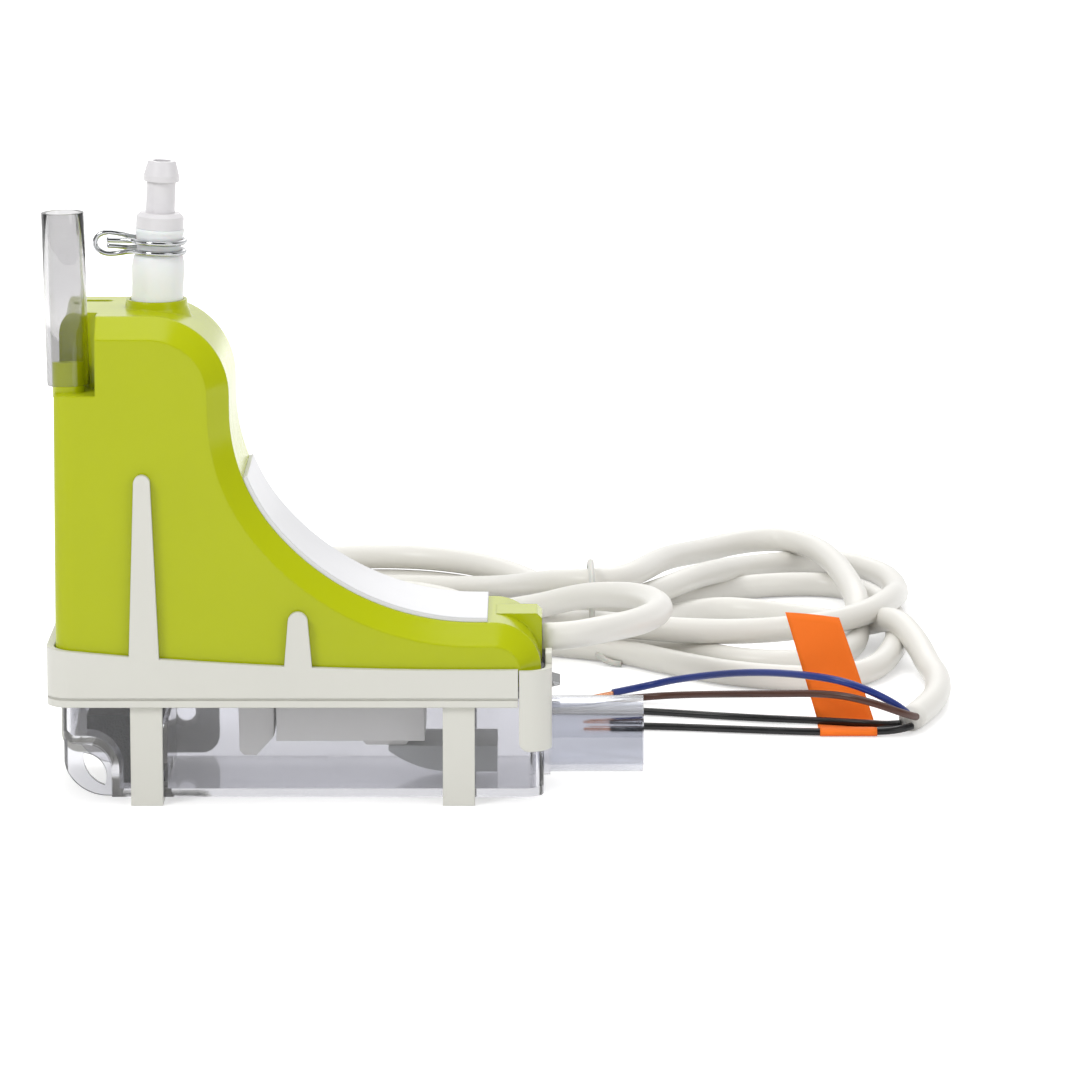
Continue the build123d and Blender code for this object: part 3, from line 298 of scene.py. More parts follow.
class SettledDust(ShaderGroup):
    """A thin, patchy film of dust on faces that look up."""

    name = "settled_dust"
    inputs = (
        ("Colour", "Color", (0.8, 0.8, 0.8, 1.0)),
        ("Dust Colour", "Color", (0.62, 0.6, 0.56, 1.0)),
        ("Amount", "Float", 0.08),
    )
    outputs = (("Colour", "Color"), ("Mask", "Float"))
    speck_cells = 420.0
    upward_bias = 3.0

    @classmethod
    def fill(cls, tree: Tree, given: Node) -> dict[str, Socket]:
        """Adds the dust's nodes, as ShaderGroup.fill says."""
        put = given.outputs
        normal = tree.nodes.new("ShaderNodeNewGeometry").outputs["Normal"]
        up = maths(tree, "MAXIMUM", axis_of(tree, normal, "Z"), 0.0)
        up = maths(tree, "POWER", up, cls.upward_bias)
        patch = maths(tree, "MULTIPLY", up, noise(tree, cls.speck_cells, detail=5.0))
        mask = maths(tree, "MULTIPLY", patch, put["Amount"], clamp=True)
        return {"Colour": mix_colour(tree, mask, put["Colour"], put["Dust Colour"]), "Mask": mask}


class FineScratches(ShaderGroup):
    """Sparse hairline scratches from handling, as a mask."""

    name = "fine_scratches"
    inputs = (("Amount", "Float", 0.3),)
    outputs = (("Mask", "Float"),)
    slant = (0.4, 0.7, 0.3)
    stretch = (60.0, 900.0, 60.0)
    threshold = 0.63
    sharpness = 16.0

    @classmethod
    def fill(cls, tree: Tree, given: Node) -> dict[str, Socket]:
        """Adds the scratches' nodes, as ShaderGroup.fill says."""
        place = object_place(tree)
        turn = add_node(tree, "ShaderNodeMapping", Vector=place, Rotation=cls.slant, Scale=cls.stretch)
        streak = add_node(tree, "ShaderNodeTexNoise", Vector=turn.outputs[0], Scale=1.0, Detail=3.0)
        sharp = ramp(tree, streak.outputs["Fac"], cls.threshold, cls.sharpness)
        return {"Mask": maths(tree, "MULTIPLY", sharp, given.outputs["Amount"])}


# ---------------------------------------------------------------- finishes


def new_material(name: str) -> tuple[Finish, Tree, Node]:
    """Makes an empty node material with a Principled shader.

    Args:
        name: the material's name.

    Returns:
        The material, its tree and the Principled node.
    """
    material = bpy.data.materials.new(name)
    material.use_nodes = True
    return material, material.node_tree, find_node(material.node_tree, "BSDF_PRINCIPLED")


def place_group(tree: Tree, kind: type[ShaderGroup], **values: object) -> Node:
    """Places a shader group in a material and feeds its inputs.

    Args:
        tree: the material's tree.
        kind: the group's class.
        values: its inputs, as set_inputs takes them.

    Returns:
        The group node.
    """
    node = tree.nodes.new("ShaderNodeGroup")
    node.node_tree = kind.tree()
    return set_inputs(tree, node, **values)


def add_bump(tree: Tree, shader: Node, height: Socket, depth: float, edge: float = 0.0) -> None:
    """Feeds a height into the shader's normal.

    Args:
        tree: the material's tree.
        shader: the Principled node.
        height: the height socket.
        depth: the bump's depth in metres.
        edge: the radius of softened edges in metres, or 0 for crisp ones.
    """
    bump = add_node(tree, "ShaderNodeBump", Distance=depth, Height=height)
    if edge > 0:
        soft = add_node(tree, "ShaderNodeBevel", Radius=edge)
        soft.samples = EDGE_SAMPLES
        feed(tree, bump.inputs["Normal"], soft.outputs["Normal"])
    feed(tree, shader.inputs["Normal"], bump.outputs["Normal"])


def add_worn_skin(tree: Tree, shader: Node, scratches: float, depth: float, **skin_values: object) -> None:
    """Gives a shader a skin with fine scratches in its gloss.

    Args:
        tree: the material's tree.
        shader: the Principled node.
        scratches: how strong the scratches are.
        depth: the grain's depth in metres.
        skin_values: the MouldedSkin's inputs.
    """
    skin = place_group(tree, MouldedSkin, **skin_values).outputs
    marks = place_group(tree, FineScratches, Amount=scratches).outputs["Mask"]
    rough = maths(tree, "ADD", skin["Roughness"], marks, clamp=True)
    set_inputs(tree, shader, Base_Color=skin["Colour"], Roughness=rough)
    add_bump(tree, shader, skin["Height"], depth)


@dataclass(frozen=True)
class MouldedPlastic:
    """An opaque moulded plastic or rubber."""

    name: str
    colour: Point
    gloss: Gloss = Gloss.SATIN
    coat: float = 0.0
    coat_roughness: float = 0.08
    specular: float = 0.5
    glow_depth: float = 0.0
    glow_weight: float = 0.12
    grain_size: float = 2600.0
    grain_depth: float = 0.00001
    shade_spread: float = 0.05
    dust: float = 0.1
    scratches: float = 0.25
    wear: float = 0.3
    edge: float = 0.0003

    def build(self) -> Finish:
        """Returns the finished material."""
        material, tree, shader = new_material(self.name)
        skin = place_group(
            tree, MouldedSkin, Colour=self.colour, Shade_Spread=self.shade_spread,
            Roughness=self.gloss.value, Grain_Size=self.grain_size,
        ).outputs
        film = place_group(tree, SettledDust, Colour=skin["Colour"], Amount=self.dust).outputs
        marks = place_group(tree, FineScratches, Amount=self.scratches).outputs["Mask"]
        rough = maths(tree, "ADD", skin["Roughness"], maths(tree, "MULTIPLY", marks, self.wear))
        set_inputs(
            tree, shader, Base_Color=film["Colour"],
            Roughness=maths(tree, "ADD", rough, film["Mask"], clamp=True),
            Specular_IOR_Level=self.specular, Coat_Weight=self.coat, Coat_Roughness=self.coat_roughness,
        )
        add_bump(tree, shader, maths(tree, "SUBTRACT", skin["Height"], marks), self.grain_depth, self.edge)
        if self.glow_depth:
            set_inputs(tree, shader, Subsurface_Weight=self.glow_weight, Subsurface_Scale=self.glow_depth)
        return material


@dataclass(frozen=True)
class ClearPlastic:
    """A clear moulded plastic or vinyl."""

    name: str
    tint: Point
    far_tint: Point | None = None
    far_place: float = 0.0437
    far_gain: float = 900.0
    ior: float = 1.52
    roughness: float = 0.03
    spread: float = 0.03
    scratches: float = 0.12
    ripple_size: float = 140.0
    ripple: float = 0.00002
    light_tint: Point = (0.96, 0.96, 0.97)

    def build(self) -> Finish:
        """Returns the finished material."""
        material, tree, shader = new_material(self.name)
        set_inputs(tree, shader, Transmission_Weight=1.0, IOR=self.ior)
        add_worn_skin(
            tree, shader, self.scratches, self.ripple, Colour=self.tint_socket(tree),
            Shade_Spread=self.spread, Roughness=self.roughness, Gloss_Spread=self.spread,
            Grain_Size=self.ripple_size,
        )
        self.let_light_in(tree, shader)
        return material

    def tint_socket(self, tree: Tree) -> object:
        """Returns the tint, which deepens past far_place where the wall is a thick socket.

        Args:
            tree: the material's tree.

        Returns:
            A plain colour, or a socket.
        """
        if self.far_tint is None:
            return self.tint
        past = ramp(tree, axis_of(tree, object_place(tree), "X"), self.far_place, self.far_gain)
        return mix_colour(tree, past, self.tint, self.far_tint)

    def let_light_in(self, tree: Tree, shader: Node) -> None:
        """Lets lamp light through to the pieces behind.

        Args:
            tree: the material's tree.
            shader: the Principled node.
        """
        rays = tree.nodes.new("ShaderNodeLightPath").outputs
        through = add_node(tree, "ShaderNodeBsdfTransparent", Color=self.light_tint)
        unlit = maths(tree, "MAXIMUM", rays["Is Shadow Ray"], rays["Is Diffuse Ray"])
        choice = tree.nodes.new("ShaderNodeMixShader")
        for socket, value in zip(choice.inputs, (unlit, shader.outputs[0], through.outputs[0])):
            feed(tree, socket, value)
        feed(tree, find_node(tree, "OUTPUT_MATERIAL").inputs["Surface"], choice.outputs[0])


@dataclass(frozen=True)
class Metal:
    """A drawn, plated or stamped metal."""

    name: str
    colour: Point
    roughness: float = 0.22
    grain_size: float = 1500.0
    grain_depth: float = 0.000008
    shade_spread: float = 0.12
    gloss_spread: float = 0.14
    scratches: float = 0.35

    def build(self) -> Finish:
        """Returns the finished material."""
        material, tree, shader = new_material(self.name)
        set_inputs(tree, shader, Metallic=1.0)
        add_worn_skin(
            tree, shader, self.scratches, self.grain_depth, Colour=self.colour,
            Shade_Spread=self.shade_spread, Roughness=self.roughness, Gloss_Spread=self.gloss_spread,
            Grain_Size=self.grain_size,
        )
        return material


@dataclass(frozen=True)
class Foam:
    """Closed-cell black foam, pitted and pale-flecked where its cells are cut."""

    name: str
    colour: Point
    fleck_colour: Point = (0.16, 0.17, 0.19)
    fleck_reach: float = 0.2
    fleck_gain: float = 3.0
    cell_size: float = 1700.0
    pit_depth: float = 0.00012
    roughness: float = 0.85
    dust: float = 0.15

    def build(self) -> Finish:
        """Returns the finished material."""
        material, tree, shader = new_material(self.name)
        cells = add_node(tree, "ShaderNodeTexVoronoi", Vector=object_place(tree), Scale=self.cell_size)
        middle = cells.outputs["Distance"]
        fleck = ramp(tree, self.fleck_reach, middle, self.fleck_gain)
        film = place_group(tree, SettledDust, Colour=self.colour, Amount=self.dust).outputs["Colour"]
        colour = mix_colour(tree, fleck, film, self.fleck_colour)
        set_inputs(tree, shader, Base_Color=colour, Roughness=self.roughness)
        add_bump(tree, shader, middle, self.pit_depth)
        return material


FINISHES = (
    MouldedPlastic(
        "cover_lime", (0.43, 0.485, 0.002), Gloss.POLISHED,
        specular=0.3, shade_spread=0.06, dust=0.03, edge=0.0006,
    ),
    MouldedPlastic("cradle_white", (0.67, 0.665, 0.61), dust=0.08),
    MouldedPlastic("panel_white", (0.71, 0.71, 0.735), coat=0.1),
    MouldedPlastic("base_white", (0.86, 0.85, 0.81), Gloss.FINE_SPARK),
    ClearPlastic("tank_clear", (0.70, 0.70, 0.735), far_tint=(0.62, 0.63, 0.68), roughness=0.05),
    ClearPlastic("vinyl_clear", (0.66, 0.655, 0.66), ior=1.5, roughness=0.05),
    MouldedPlastic("tie_milky", (0.56, 0.56, 0.52), glow_depth=0.001, scratches=0.0),
    Foam("foam_black", (0.008, 0.009, 0.012)),
    MouldedPlastic("silicone_white", (0.82, 0.83, 0.83), glow_depth=0.003, scratches=0.0, edge=0.0),
    MouldedPlastic("adaptor_white", (0.70, 0.685, 0.70), scratches=0.1, edge=0.00015),
    MouldedPlastic(
        "sheath_white", (0.74, 0.725, 0.68), edge=0.0, grain_size=900.0, grain_depth=0.00002, dust=0.06
    ),
    MouldedPlastic("core_blue", (0.004, 0.024, 0.2), edge=0.0),
    MouldedPlastic("core_brown", (0.07, 0.022, 0.012), edge=0.0),
    MouldedPlastic("core_black", (0.006, 0.006, 0.007), edge=0.0),
    MouldedPlastic(
        "flag_orange", (0.95, 0.18, 0.003), Gloss.MATT, edge=0.0, grain_size=700.0, grain_depth=0.00003
    ),
    MouldedPlastic("rubber_black", (0.012, 0.012, 0.012), Gloss.MATT),
    MouldedPlastic("rubber_grey", (0.35, 0.35, 0.34), Gloss.MATT),
    MouldedPlastic("mesh_grey", (0.42, 0.43, 0.43), Gloss.FINE_SPARK),
    MouldedPlastic("board_green", (0.01, 0.09, 0.04), coat=0.3),
    MouldedPlastic("part_black", (0.02, 0.02, 0.021), Gloss.FINE_SPARK),
    Metal("bright_steel", (0.50, 0.51, 0.52), 0.14),
    Metal("yoke_steel", (0.52, 0.52, 0.51), 0.38),
    Metal("magnet_grey", (0.3, 0.3, 0.31), 0.45),
    Metal("copper", (0.83, 0.41, 0.24), 0.26),
    Metal("winding_copper", (0.62, 0.24, 0.1), 0.3),
)


# ---------------------------------------------------------------- making meshes


def link_new(name: str, data: bpy.types.ID) -> Piece:
    """Puts a new object in the scene at the origin and returns it."""
    piece = bpy.data.objects.new(name, data)
    bpy.context.scene.collection.objects.link(piece)
    return piece


def add_object(name: str, mesh: Mesh, material: Finish) -> Piece:
    """Puts a mesh in the scene at the origin, smooth, with one material.

    Args:
        name: the piece's name.
        mesh: its mesh.
        material: its finish.

    Returns:
        The object.
    """
    piece = link_new(name, mesh)
    mesh.materials.clear()
    mesh.materials.append(material)
    mesh.polygons.foreach_set("use_smooth", [True] * len(mesh.polygons))
    return piece


def working_copy(mesh: Mesh) -> bmesh.types.BMesh:
    """Returns a mesh's shape to work on."""
    shape = bmesh.new()
    shape.from_mesh(mesh)
    return shape


def write_back(shape: bmesh.types.BMesh, mesh: Mesh) -> None:
    """Writes a working shape to a mesh, smooth, and frees it.

    Args:
        shape: the working shape.
        mesh: the mesh to write to.
    """
    for face in shape.faces:
        face.smooth = True
    shape.to_mesh(mesh)
    shape.free()


def sweep(name: str, path: list[Vector], radii: list[float], sides: int) -> Mesh:
    """Sweeps a closed round tube along a path, with domed ends and a UV map along it.

    Args:
        name: the mesh's name.
        path: the points of the centreline.
        radii: the radius at each point.
        sides: how many sides the section has.

    Returns:
        The mesh.
    """
    shape = bmesh.new()
    layer = shape.loops.layers.uv.new("along")
    tangent = (path[1] - path[0]).normalized()
    side = tangent.orthogonal().normalized()
    rings: list[list[bmesh.types.BMVert]] = []
    travel = [0.0]
    for index, point in enumerate(path):
        ahead = path[min(index + 1, len(path) - 1)] - path[max(index - 1, 0)]
        fresh = ahead.normalized()
        turn: Quaternion = tangent.rotation_difference(fresh)
        side = (turn @ side).normalized()
        tangent = fresh
        across = tangent.cross(side)
        ring = []
        for step in range(sides):
            angle = math.tau * step / sides
            offset = side * math.cos(angle) + across * math.sin(angle)
            ring.append(shape.verts.new(point + offset * radii[index]))
        rings.append(ring)
        if index:
            travel.append(travel[-1] + (point - path[index - 1]).length)
    for index in range(len(rings) - 1):
        for step in range(sides):
            after = (step + 1) % sides
            face = shape.faces.new(
                (rings[index][step], rings[index][after], rings[index + 1][after], rings[index + 1][step])
            )
            marks = ((step, index), (step + 1, index), (step + 1, index + 1), (step, index + 1))
            for loop, (around, along) in zip(face.loops, marks):
                loop[layer].uv = (around / sides, travel[along])
    shape.faces.new(list(reversed(rings[0])))
    shape.faces.new(rings[-1])
    bmesh.ops.recalc_face_normals(shape, faces=shape.faces)
    mesh = bpy.data.meshes.new(name)
    shape.to_mesh(mesh)
    shape.free()
    return mesh


def spline_curve(name: str, route: Route, bevel: float = 0.0) -> Piece:
    """Makes an open NURBS curve with a route as its control points.

    Args:
        name: the curve's name.
        route: control points in millimetres.
        bevel: the tube's radius in metres, or 0 for a bare line.

    Returns:
        The curve object.
    """
    curve = bpy.data.curves.new(name, "CURVE")
    curve.dimensions = "3D"
    spline = curve.splines.new("NURBS")
    spline.points.add(len(route) - 1)
    for slot, point in zip(spline.points, route):
        slot.co = (*(value * MM for value in point), 1.0)
    spline.order_u = CURVE_ORDER
    spline.use_endpoint_u = True
    spline.resolution_u = CURVE_STEPS
    curve.bevel_depth = bevel
    curve.bevel_resolution = 4
    curve.use_fill_caps = bevel > 0
    return link_new(name, curve)


def take_mesh(piece: Piece) -> Mesh:
    """Turns an object into a plain mesh of its final shape.

    Args:
        piece: the object, which is removed.

    Returns:
        The mesh.
    """
    bpy.context.view_layer.update()
    graph = bpy.context.evaluated_depsgraph_get()
    mesh = bpy.data.meshes.new_from_object(piece.evaluated_get(graph))
    bpy.data.objects.remove(piece)
    return mesh


def trace(route: Route) -> list[Vector]:
    """Follows the smooth line that a route controls.

    Args:
        route: control points in millimetres.

    Returns:
        The points along the line, in metres.
    """
    mesh = take_mesh(spline_curve("line", route))
    points = [vertex.co.copy() for vertex in mesh.vertices]
    bpy.data.meshes.remove(mesh)
    return points


def length_of(points: list[Vector]) -> float:
    """Returns the length of a line of points."""
    return sum((b - a).length for a, b in zip(points, points[1:]))


def soft_copy(node: str, name: str, material: Finish, rounding: float) -> Piece:
    """Makes a merged copy of a CAD node with softened edges, to stand for it.

    Args:
        node: the CAD node.
        name: the new piece's name.
        material: its finish.
        rounding: the softened edges' width in metres.

    Returns:
        The new piece.
    """
    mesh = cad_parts[node].data.copy()
    mesh.name = name
    shape = working_copy(mesh)
    bmesh.ops.remove_doubles(shape, verts=shape.verts, dist=WELD)
    bmesh.ops.dissolve_limit(shape, angle_limit=FLAT_ANGLE, verts=shape.verts, edges=shape.edges)
    edges = [
        edge for edge in shape.edges if len(edge.link_faces) == 2 and edge.calc_face_angle() > CREASE_ANGLE
    ]
    if rounding > 0 and edges:
        bmesh.ops.bevel(
            shape, geom=edges, offset=rounding, segments=2, profile=0.6, affect="EDGES", clamp_overlap=True
        )
    write_back(shape, mesh)
    piece = add_object(name, mesh, material)
    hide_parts(node)
    return piece


def add_wire(tree: Tree, radius: object, height: object, turns: object, wire: object, steps: int) -> Socket:
    """Adds Geometry Nodes that wind a round wire into a helix.

    Args:
        tree: the tree to add to.
        radius: the helix's radius.
        height: the helix's height.
        turns: how many turns it makes.
        wire: the wire's radius.
        steps: points in each turn.

    Returns:
        The wound wire.
    """
    helix = add_node(
        tree, "GeometryNodeCurveSpiral", Resolution=steps, Rotations=turns, Start_Radius=radius,
        End_Radius=radius, Height=height,
    )
    section = add_node(tree, "GeometryNodeCurvePrimitiveCircle", Resolution=WIRE_SIDES, Radius=wire)
    line, profile = helix.outputs[0], section.outputs[0]
    tube = add_node(tree, "GeometryNodeCurveToMesh", Curve=line, Profile_Curve=profile, Fill_Caps=True)
    return tube.outputs[0]


def stand_on(tree: Tree, points: Socket, shape: Socket, rotation: Socket) -> Socket:
    """Adds Geometry Nodes that stand a real copy of a shape on each point, turned as given."""
    copies = add_node(tree, "GeometryNodeInstanceOnPoints", Points=points, Instance=shape, Rotation=rotation)
    return add_node(tree, "GeometryNodeRealizeInstances", Geometry=copies.outputs[0]).outputs[0]


def end_with(tree: Tree, result: Node, shape: Socket, material: Finish) -> None:
    """Gives a Geometry Nodes shape its finish and makes it the result of its tree."""
    finish = add_node(tree, "GeometryNodeSetMaterial", Geometry=shape, Material=material)
    feed(tree, result.inputs[0], finish.outputs[0])


def run_nodes(holder: Piece, tree: Tree, values: dict[str, object], name: str) -> Mesh:
    """Runs a Geometry Nodes tree on an object and returns the result as a plain mesh.

    Args:
        holder: the object that the tree starts from, which is removed afterwards.
        tree: the tree.
        values: the modifier's inputs by name.
        name: the new mesh's name.

    Returns:
        The mesh.
    """
    modifier = holder.modifiers.new("nodes", "NODES")
    modifier.node_group = tree
    for item in tree.interface.items_tree:
        if item.in_out == "INPUT" and item.name in values:
            modifier[item.identifier] = values[item.name]
    mesh = take_mesh(holder)
    mesh.name = name
    return mesh


# ---------------------------------------------------------------- studio


def aim(piece: Piece, place: Point, target: Point) -> None:
    """Stands a camera or lamp at a place and points it at a target."""
    piece.location = place
    piece.rotation_euler = (Vector(target) - Vector(place)).to_track_quat("-Z", "Y").to_euler()


@dataclass
class Studio:
    """Camera, lamps, floor and a plain white room."""

    eye: Point = (0.04215, -1.1775, 0.2849)
    target: Point = (0.04215, 0.0, 0.0539)
    focal: float = 186.7
    sensor: float = 36.0
    clip_start: float = 0.05
    clip_end: float = 50.0
    lamp_target: Point = (0.03, 0.05, 0.04)
    lamps: tuple[tuple[str, Point, float, float], ...] = (
        ("key", (-0.75, -0.75, 1.0), 0.45, 7.0),
        ("fill", (0.95, -0.9, 0.7), 0.9, 3.6),
        ("top", (0.05, 0.15, 1.25), 0.9, 4.2),
        ("back", (0.1, 1.1, 0.8), 0.9, 3.0),
    )
    floor_reach: float = 8.0
    floor_grey: Point = (0.82, 0.82, 0.82)
    glow_from: float = 0.5
    glow_gain: float = 1.2
    near_glow: float = 0.42
    far_glow: float = 0.6
    room_grey: Point = (0.62, 0.62, 0.62)
    room_dim: float = 0.06
    room_middle: float = 0.3
    room_gain: float = 1.5

    def add_camera(self) -> None:
        """Adds the camera."""
        data = bpy.data.cameras.new("camera")
        data.lens = self.focal
        data.sensor_width = self.sensor
        data.clip_start = self.clip_start
        data.clip_end = self.clip_end
        camera = link_new("camera", data)
        aim(camera, self.eye, self.target)
        bpy.context.scene.camera = camera

    def add_lamps(self) -> None:
        """Adds the soft lamps, all aimed at the pump."""
        for name, place, size, power in self.lamps:
            data = bpy.data.lights.new(name, "AREA")
            data.shape = "DISK"
            data.size = size
            data.energy = power
            aim(link_new(name, data), place, self.lamp_target)

    def add_floor(self) -> None:
        """Adds the floor, white to the eye, which keeps the object's shadow."""
        far = self.floor_reach
        mesh = bpy.data.meshes.new("floor")
        mesh.from_pydata([(-far, -far, 0), (far, -far, 0), (far, far, 0), (-far, far, 0)], [], [(0, 1, 2, 3)])
        material, tree, shader = new_material("floor_white")
        set_inputs(tree, shader, Base_Color=self.floor_grey, Roughness=0.6, Specular_IOR_Level=0.2)
        reach = tree.nodes.new("ShaderNodeVectorMath")
        reach.operation = "LENGTH"
        feed(tree, reach.inputs[0], object_place(tree))
        away = ramp(tree, reach.outputs["Value"], self.glow_from, self.glow_gain)
        level = maths(tree, "ADD", maths(tree, "MULTIPLY", away, self.far_glow), self.near_glow)
        strength = maths(tree, "MULTIPLY", self.add_seen(tree), level)
        glow = add_node(tree, "ShaderNodeEmission", Strength=strength)
        total = tree.nodes.new("ShaderNodeAddShader")
        feed(tree, total.inputs[0], shader.outputs[0])
        feed(tree, total.inputs[1], glow.outputs[0])
        feed(tree, find_node(tree, "OUTPUT_MATERIAL").inputs["Surface"], total.outputs[0])
        floor = add_object("floor", mesh, material)

    @staticmethod
    def add_seen(tree: Tree) -> Socket:
        """Returns a mask of the rays by which white is seen, directly, in gloss or through glass."""
        rays = tree.nodes.new("ShaderNodeLightPath").outputs
        seen = maths(tree, "MAXIMUM", rays["Is Camera Ray"], rays["Is Glossy Ray"])
        return maths(tree, "MAXIMUM", seen, rays["Is Transmission Ray"])

    def add_room(self) -> None:
        """Makes the world white to the eye and a soft grey as a light, dimmer on the near side."""
        world = bpy.data.worlds.new("room")
        bpy.context.scene.world = world
        world.use_nodes = True
        tree = world.node_tree
        place = tree.nodes.new("ShaderNodeTexCoord").outputs["Generated"]
        behind = maths(tree, "MULTIPLY", axis_of(tree, place, "Y"), self.room_gain)
        behind = maths(tree, "ADD", behind, self.room_middle, clamp=True)
        gloss = maths(tree, "MULTIPLY", behind, 1.0 - self.room_dim)
        gloss = maths(tree, "ADD", gloss, self.room_dim)
        rays = tree.nodes.new("ShaderNodeLightPath").outputs
        glossy = maths(tree, "MAXIMUM", rays["Is Glossy Ray"], rays["Is Transmission Ray"])
        mixed = mix_colour(tree, glossy, self.room_grey, grey_of(tree, gloss))
        white = mix_colour(tree, rays["Is Camera Ray"], mixed, (1.0, 1.0, 1.0))
        set_inputs(tree, find_node(tree, "BACKGROUND"), Color=white, Strength=1.0)

    def build(self) -> None:
        """Builds the whole studio."""
        self.add_camera()
        self.add_lamps()
        self.add_floor()
        self.add_room()
        bpy.context.scene.view_settings.view_transform = "Standard"


# ---------------------------------------------------------------- the lead


class Part:
    """A piece or a family of pieces that is built with the finishes."""

    def build(self, finishes: Finishes) -> None:
        """Args:
            finishes: the finishes by name.
        """
        raise NotImplementedError


@dataclass
class Lead(Part):
    """The round white lead, from the gland through the tied hank to the stripped sheath."""

    diameter: float = 0.006
    sides: int = 18
    gland_share: float = 0.9
    cut_share: float = 0.94
    exit: Point = (0.0426, 0.0, 0.0328)
    free_from: Point = (0.0520, 0.0080, 0.0328)
    rest_start: Point = (0.0863, 0.0728, 0.0328)
    away: Route = (
        (42.6, 0, 32.8), (47.8, 0, 32.8), (56, 7.4, 32.8), (63.5, 23, 31), (68.3, 42, 29),
        (69.6, 64, 26.3), (65.7, 90, 23.2), (57, 109, 19.6), (50.2, 118, 17), (42, 124.5, 13.5),
        (31, 130.5, 10.5), (17, 135.6, 9.3),
    )
    first_turn: Route = (
        (2, 137.5, 9.3), (-11.2, 140.1, 9.3), (-22.4, 147.6, 9.3), (-29.9, 158.8, 9.3),
        (-32.5, 172, 9.3), (-29.9, 185.2, 9.3), (-22.4, 196.4, 9.3), (-11.2, 203.9, 9.3),
        (2, 206.3, 9.3), (14, 204.3, 9.3), (24.5, 198, 9.3), (33, 188, 9.3), (40.2, 174, 9.3),
        (44.5, 160, 9.3), (48.5, 149.5, 9.3), (54, 144.6, 9.3),
    )
    far_loop: Route = (
        (62, 147.5, 9.6), (71, 158, 10.2), (83, 183, 9.8), (96, 212, 5.5), (106, 226, 3.6),
        (114.9, 229.5, 3.2), (123, 224, 3.5), (129.5, 212, 3.3), (131.2, 198, 3.3), (130.5, 182, 4.5),
        (128.5, 163, 8), (126, 149, 9.3), (120, 135, 9.5), (109, 123, 9.2), (92, 117, 8.8),
        (76, 117.5, 9), (64, 121.5, 9.2), (54, 126, 9.2),
    )
    second_turn: Route = (
        (45, 127.5, 8.8), (34, 130.5, 6.4), (22, 134.4, 3.9), (12, 136.8, 3.1), (1, 138, 3.1),
        (-11.4, 140.5, 3.1), (-22.6, 148, 3.1), (-29.8, 159.2, 3.1), (-32, 172, 3.1), (-29.6, 185, 3.1),
        (-22, 196, 3.1), (-11, 203.2, 3.1), (2, 205.8, 3.1), (13.6, 203.8, 3.1), (24, 197.6, 3.1),
        (33, 187, 3.1), (40.5, 173, 3.1), (44.6, 160, 3.1), (48.5, 149.5, 3.1), (54, 144.6, 3.1),
    )
    inner_loop: Route = (
        (61, 147.5, 3.1), (66.5, 158, 3.1), (72.5, 174, 3.1), (82, 190.5, 3.1), (97, 200, 3.1),
        (112, 202, 3.1), (121, 196, 3.1), (126.3, 181, 3.1), (128.5, 165, 3.1), (128.8, 150, 3.3),
        (127.8, 134, 3.4), (125.5, 120, 3.4), (122, 106, 3.3), (116.7, 96.7, 3.1), (106, 91.5, 3.1),
        (95.4, 93.5, 3.1), (84.2, 99, 3.1), (72, 110.5, 3.1), (63.5, 120, 3.1), (54, 126, 3.1),
    )
    third_turn: Route = (
        (45, 130, 3.1), (33, 136.6, 3.1), (18, 142, 3.1), (3, 144.2, 3.1), (-9, 146.4, 3.1),
        (-19, 153.5, 3.1), (-25, 163.5, 3.1), (-25.6, 175.5, 3.1), (-21.6, 187, 3.1),
        (-12.6, 195.6, 3.1), (0, 199.4, 3.1), (12, 197.6, 3.3), (21, 191.4, 4.2), (28.4, 181.4, 6.2),
        (34.4, 168, 9.2), (39.8, 153.6, 12.8), (46, 143.4, 15.6), (54, 138.8, 16.6),
    )
    arch: Route = (
        (61, 141.5, 16.6), (66, 153, 16), (72.8, 183, 13.6), (82.7, 212, 9.4), (93.3, 226, 9.2),
        (103.6, 228.8, 9.4), (111.3, 219.5, 9.4), (115.9, 200, 9.2), (118, 176, 9.2), (119, 158, 9.2),
        (119.2, 148, 7.4), (118.4, 138, 4), (117, 128.5, 3.1), (112.5, 117.5, 3.1), (103.2, 108.8, 3.1),
        (91, 110.3, 3.1), (79.4, 119.5, 3.1), (67, 129.4, 3.1), (54, 132.1, 3.1),
    )
    fourth_turn: Route = (
        (43, 135.4, 3.1), (31, 142, 3.1), (18, 148.2, 3.1), (5, 150.6, 3.1), (-6, 152.4, 3.1),
        (-15, 158.6, 3.1), (-19, 168.6, 3.1), (-17.6, 179.6, 3.1), (-10.6, 188.6, 3.1),
        (0.6, 192.8, 3.1), (11, 190.4, 3.1), (19, 183, 3.1), (25, 172, 3.1), (30, 160, 3.1),
        (36, 149.4, 3.1), (44, 141.4, 3.1), (54, 138.4, 3.1),
    )
    tail: Route = (
        (62.5, 141, 3.1), (68.5, 150.5, 3.1), (75.5, 163.5, 3.1), (84, 171, 3.1), (93, 170, 3.1),
        (106, 161.5, 3.1), (119, 150, 3.3), (127, 133, 9.3), (131.5, 117, 6), (133.2, 106, 3.3),
        (134.6, 93, 3.1), (133.4, 76, 3.1), (130, 62, 3.1), (125.5, 49.9, 3.1),
    )

    def route(self) -> Route:
        """Returns the whole route's control points, in millimetres."""
        return (
            self.away + self.first_turn + self.far_loop + self.second_turn + self.inner_loop
            + self.third_turn + self.arch + self.fourth_turn + self.tail
        )

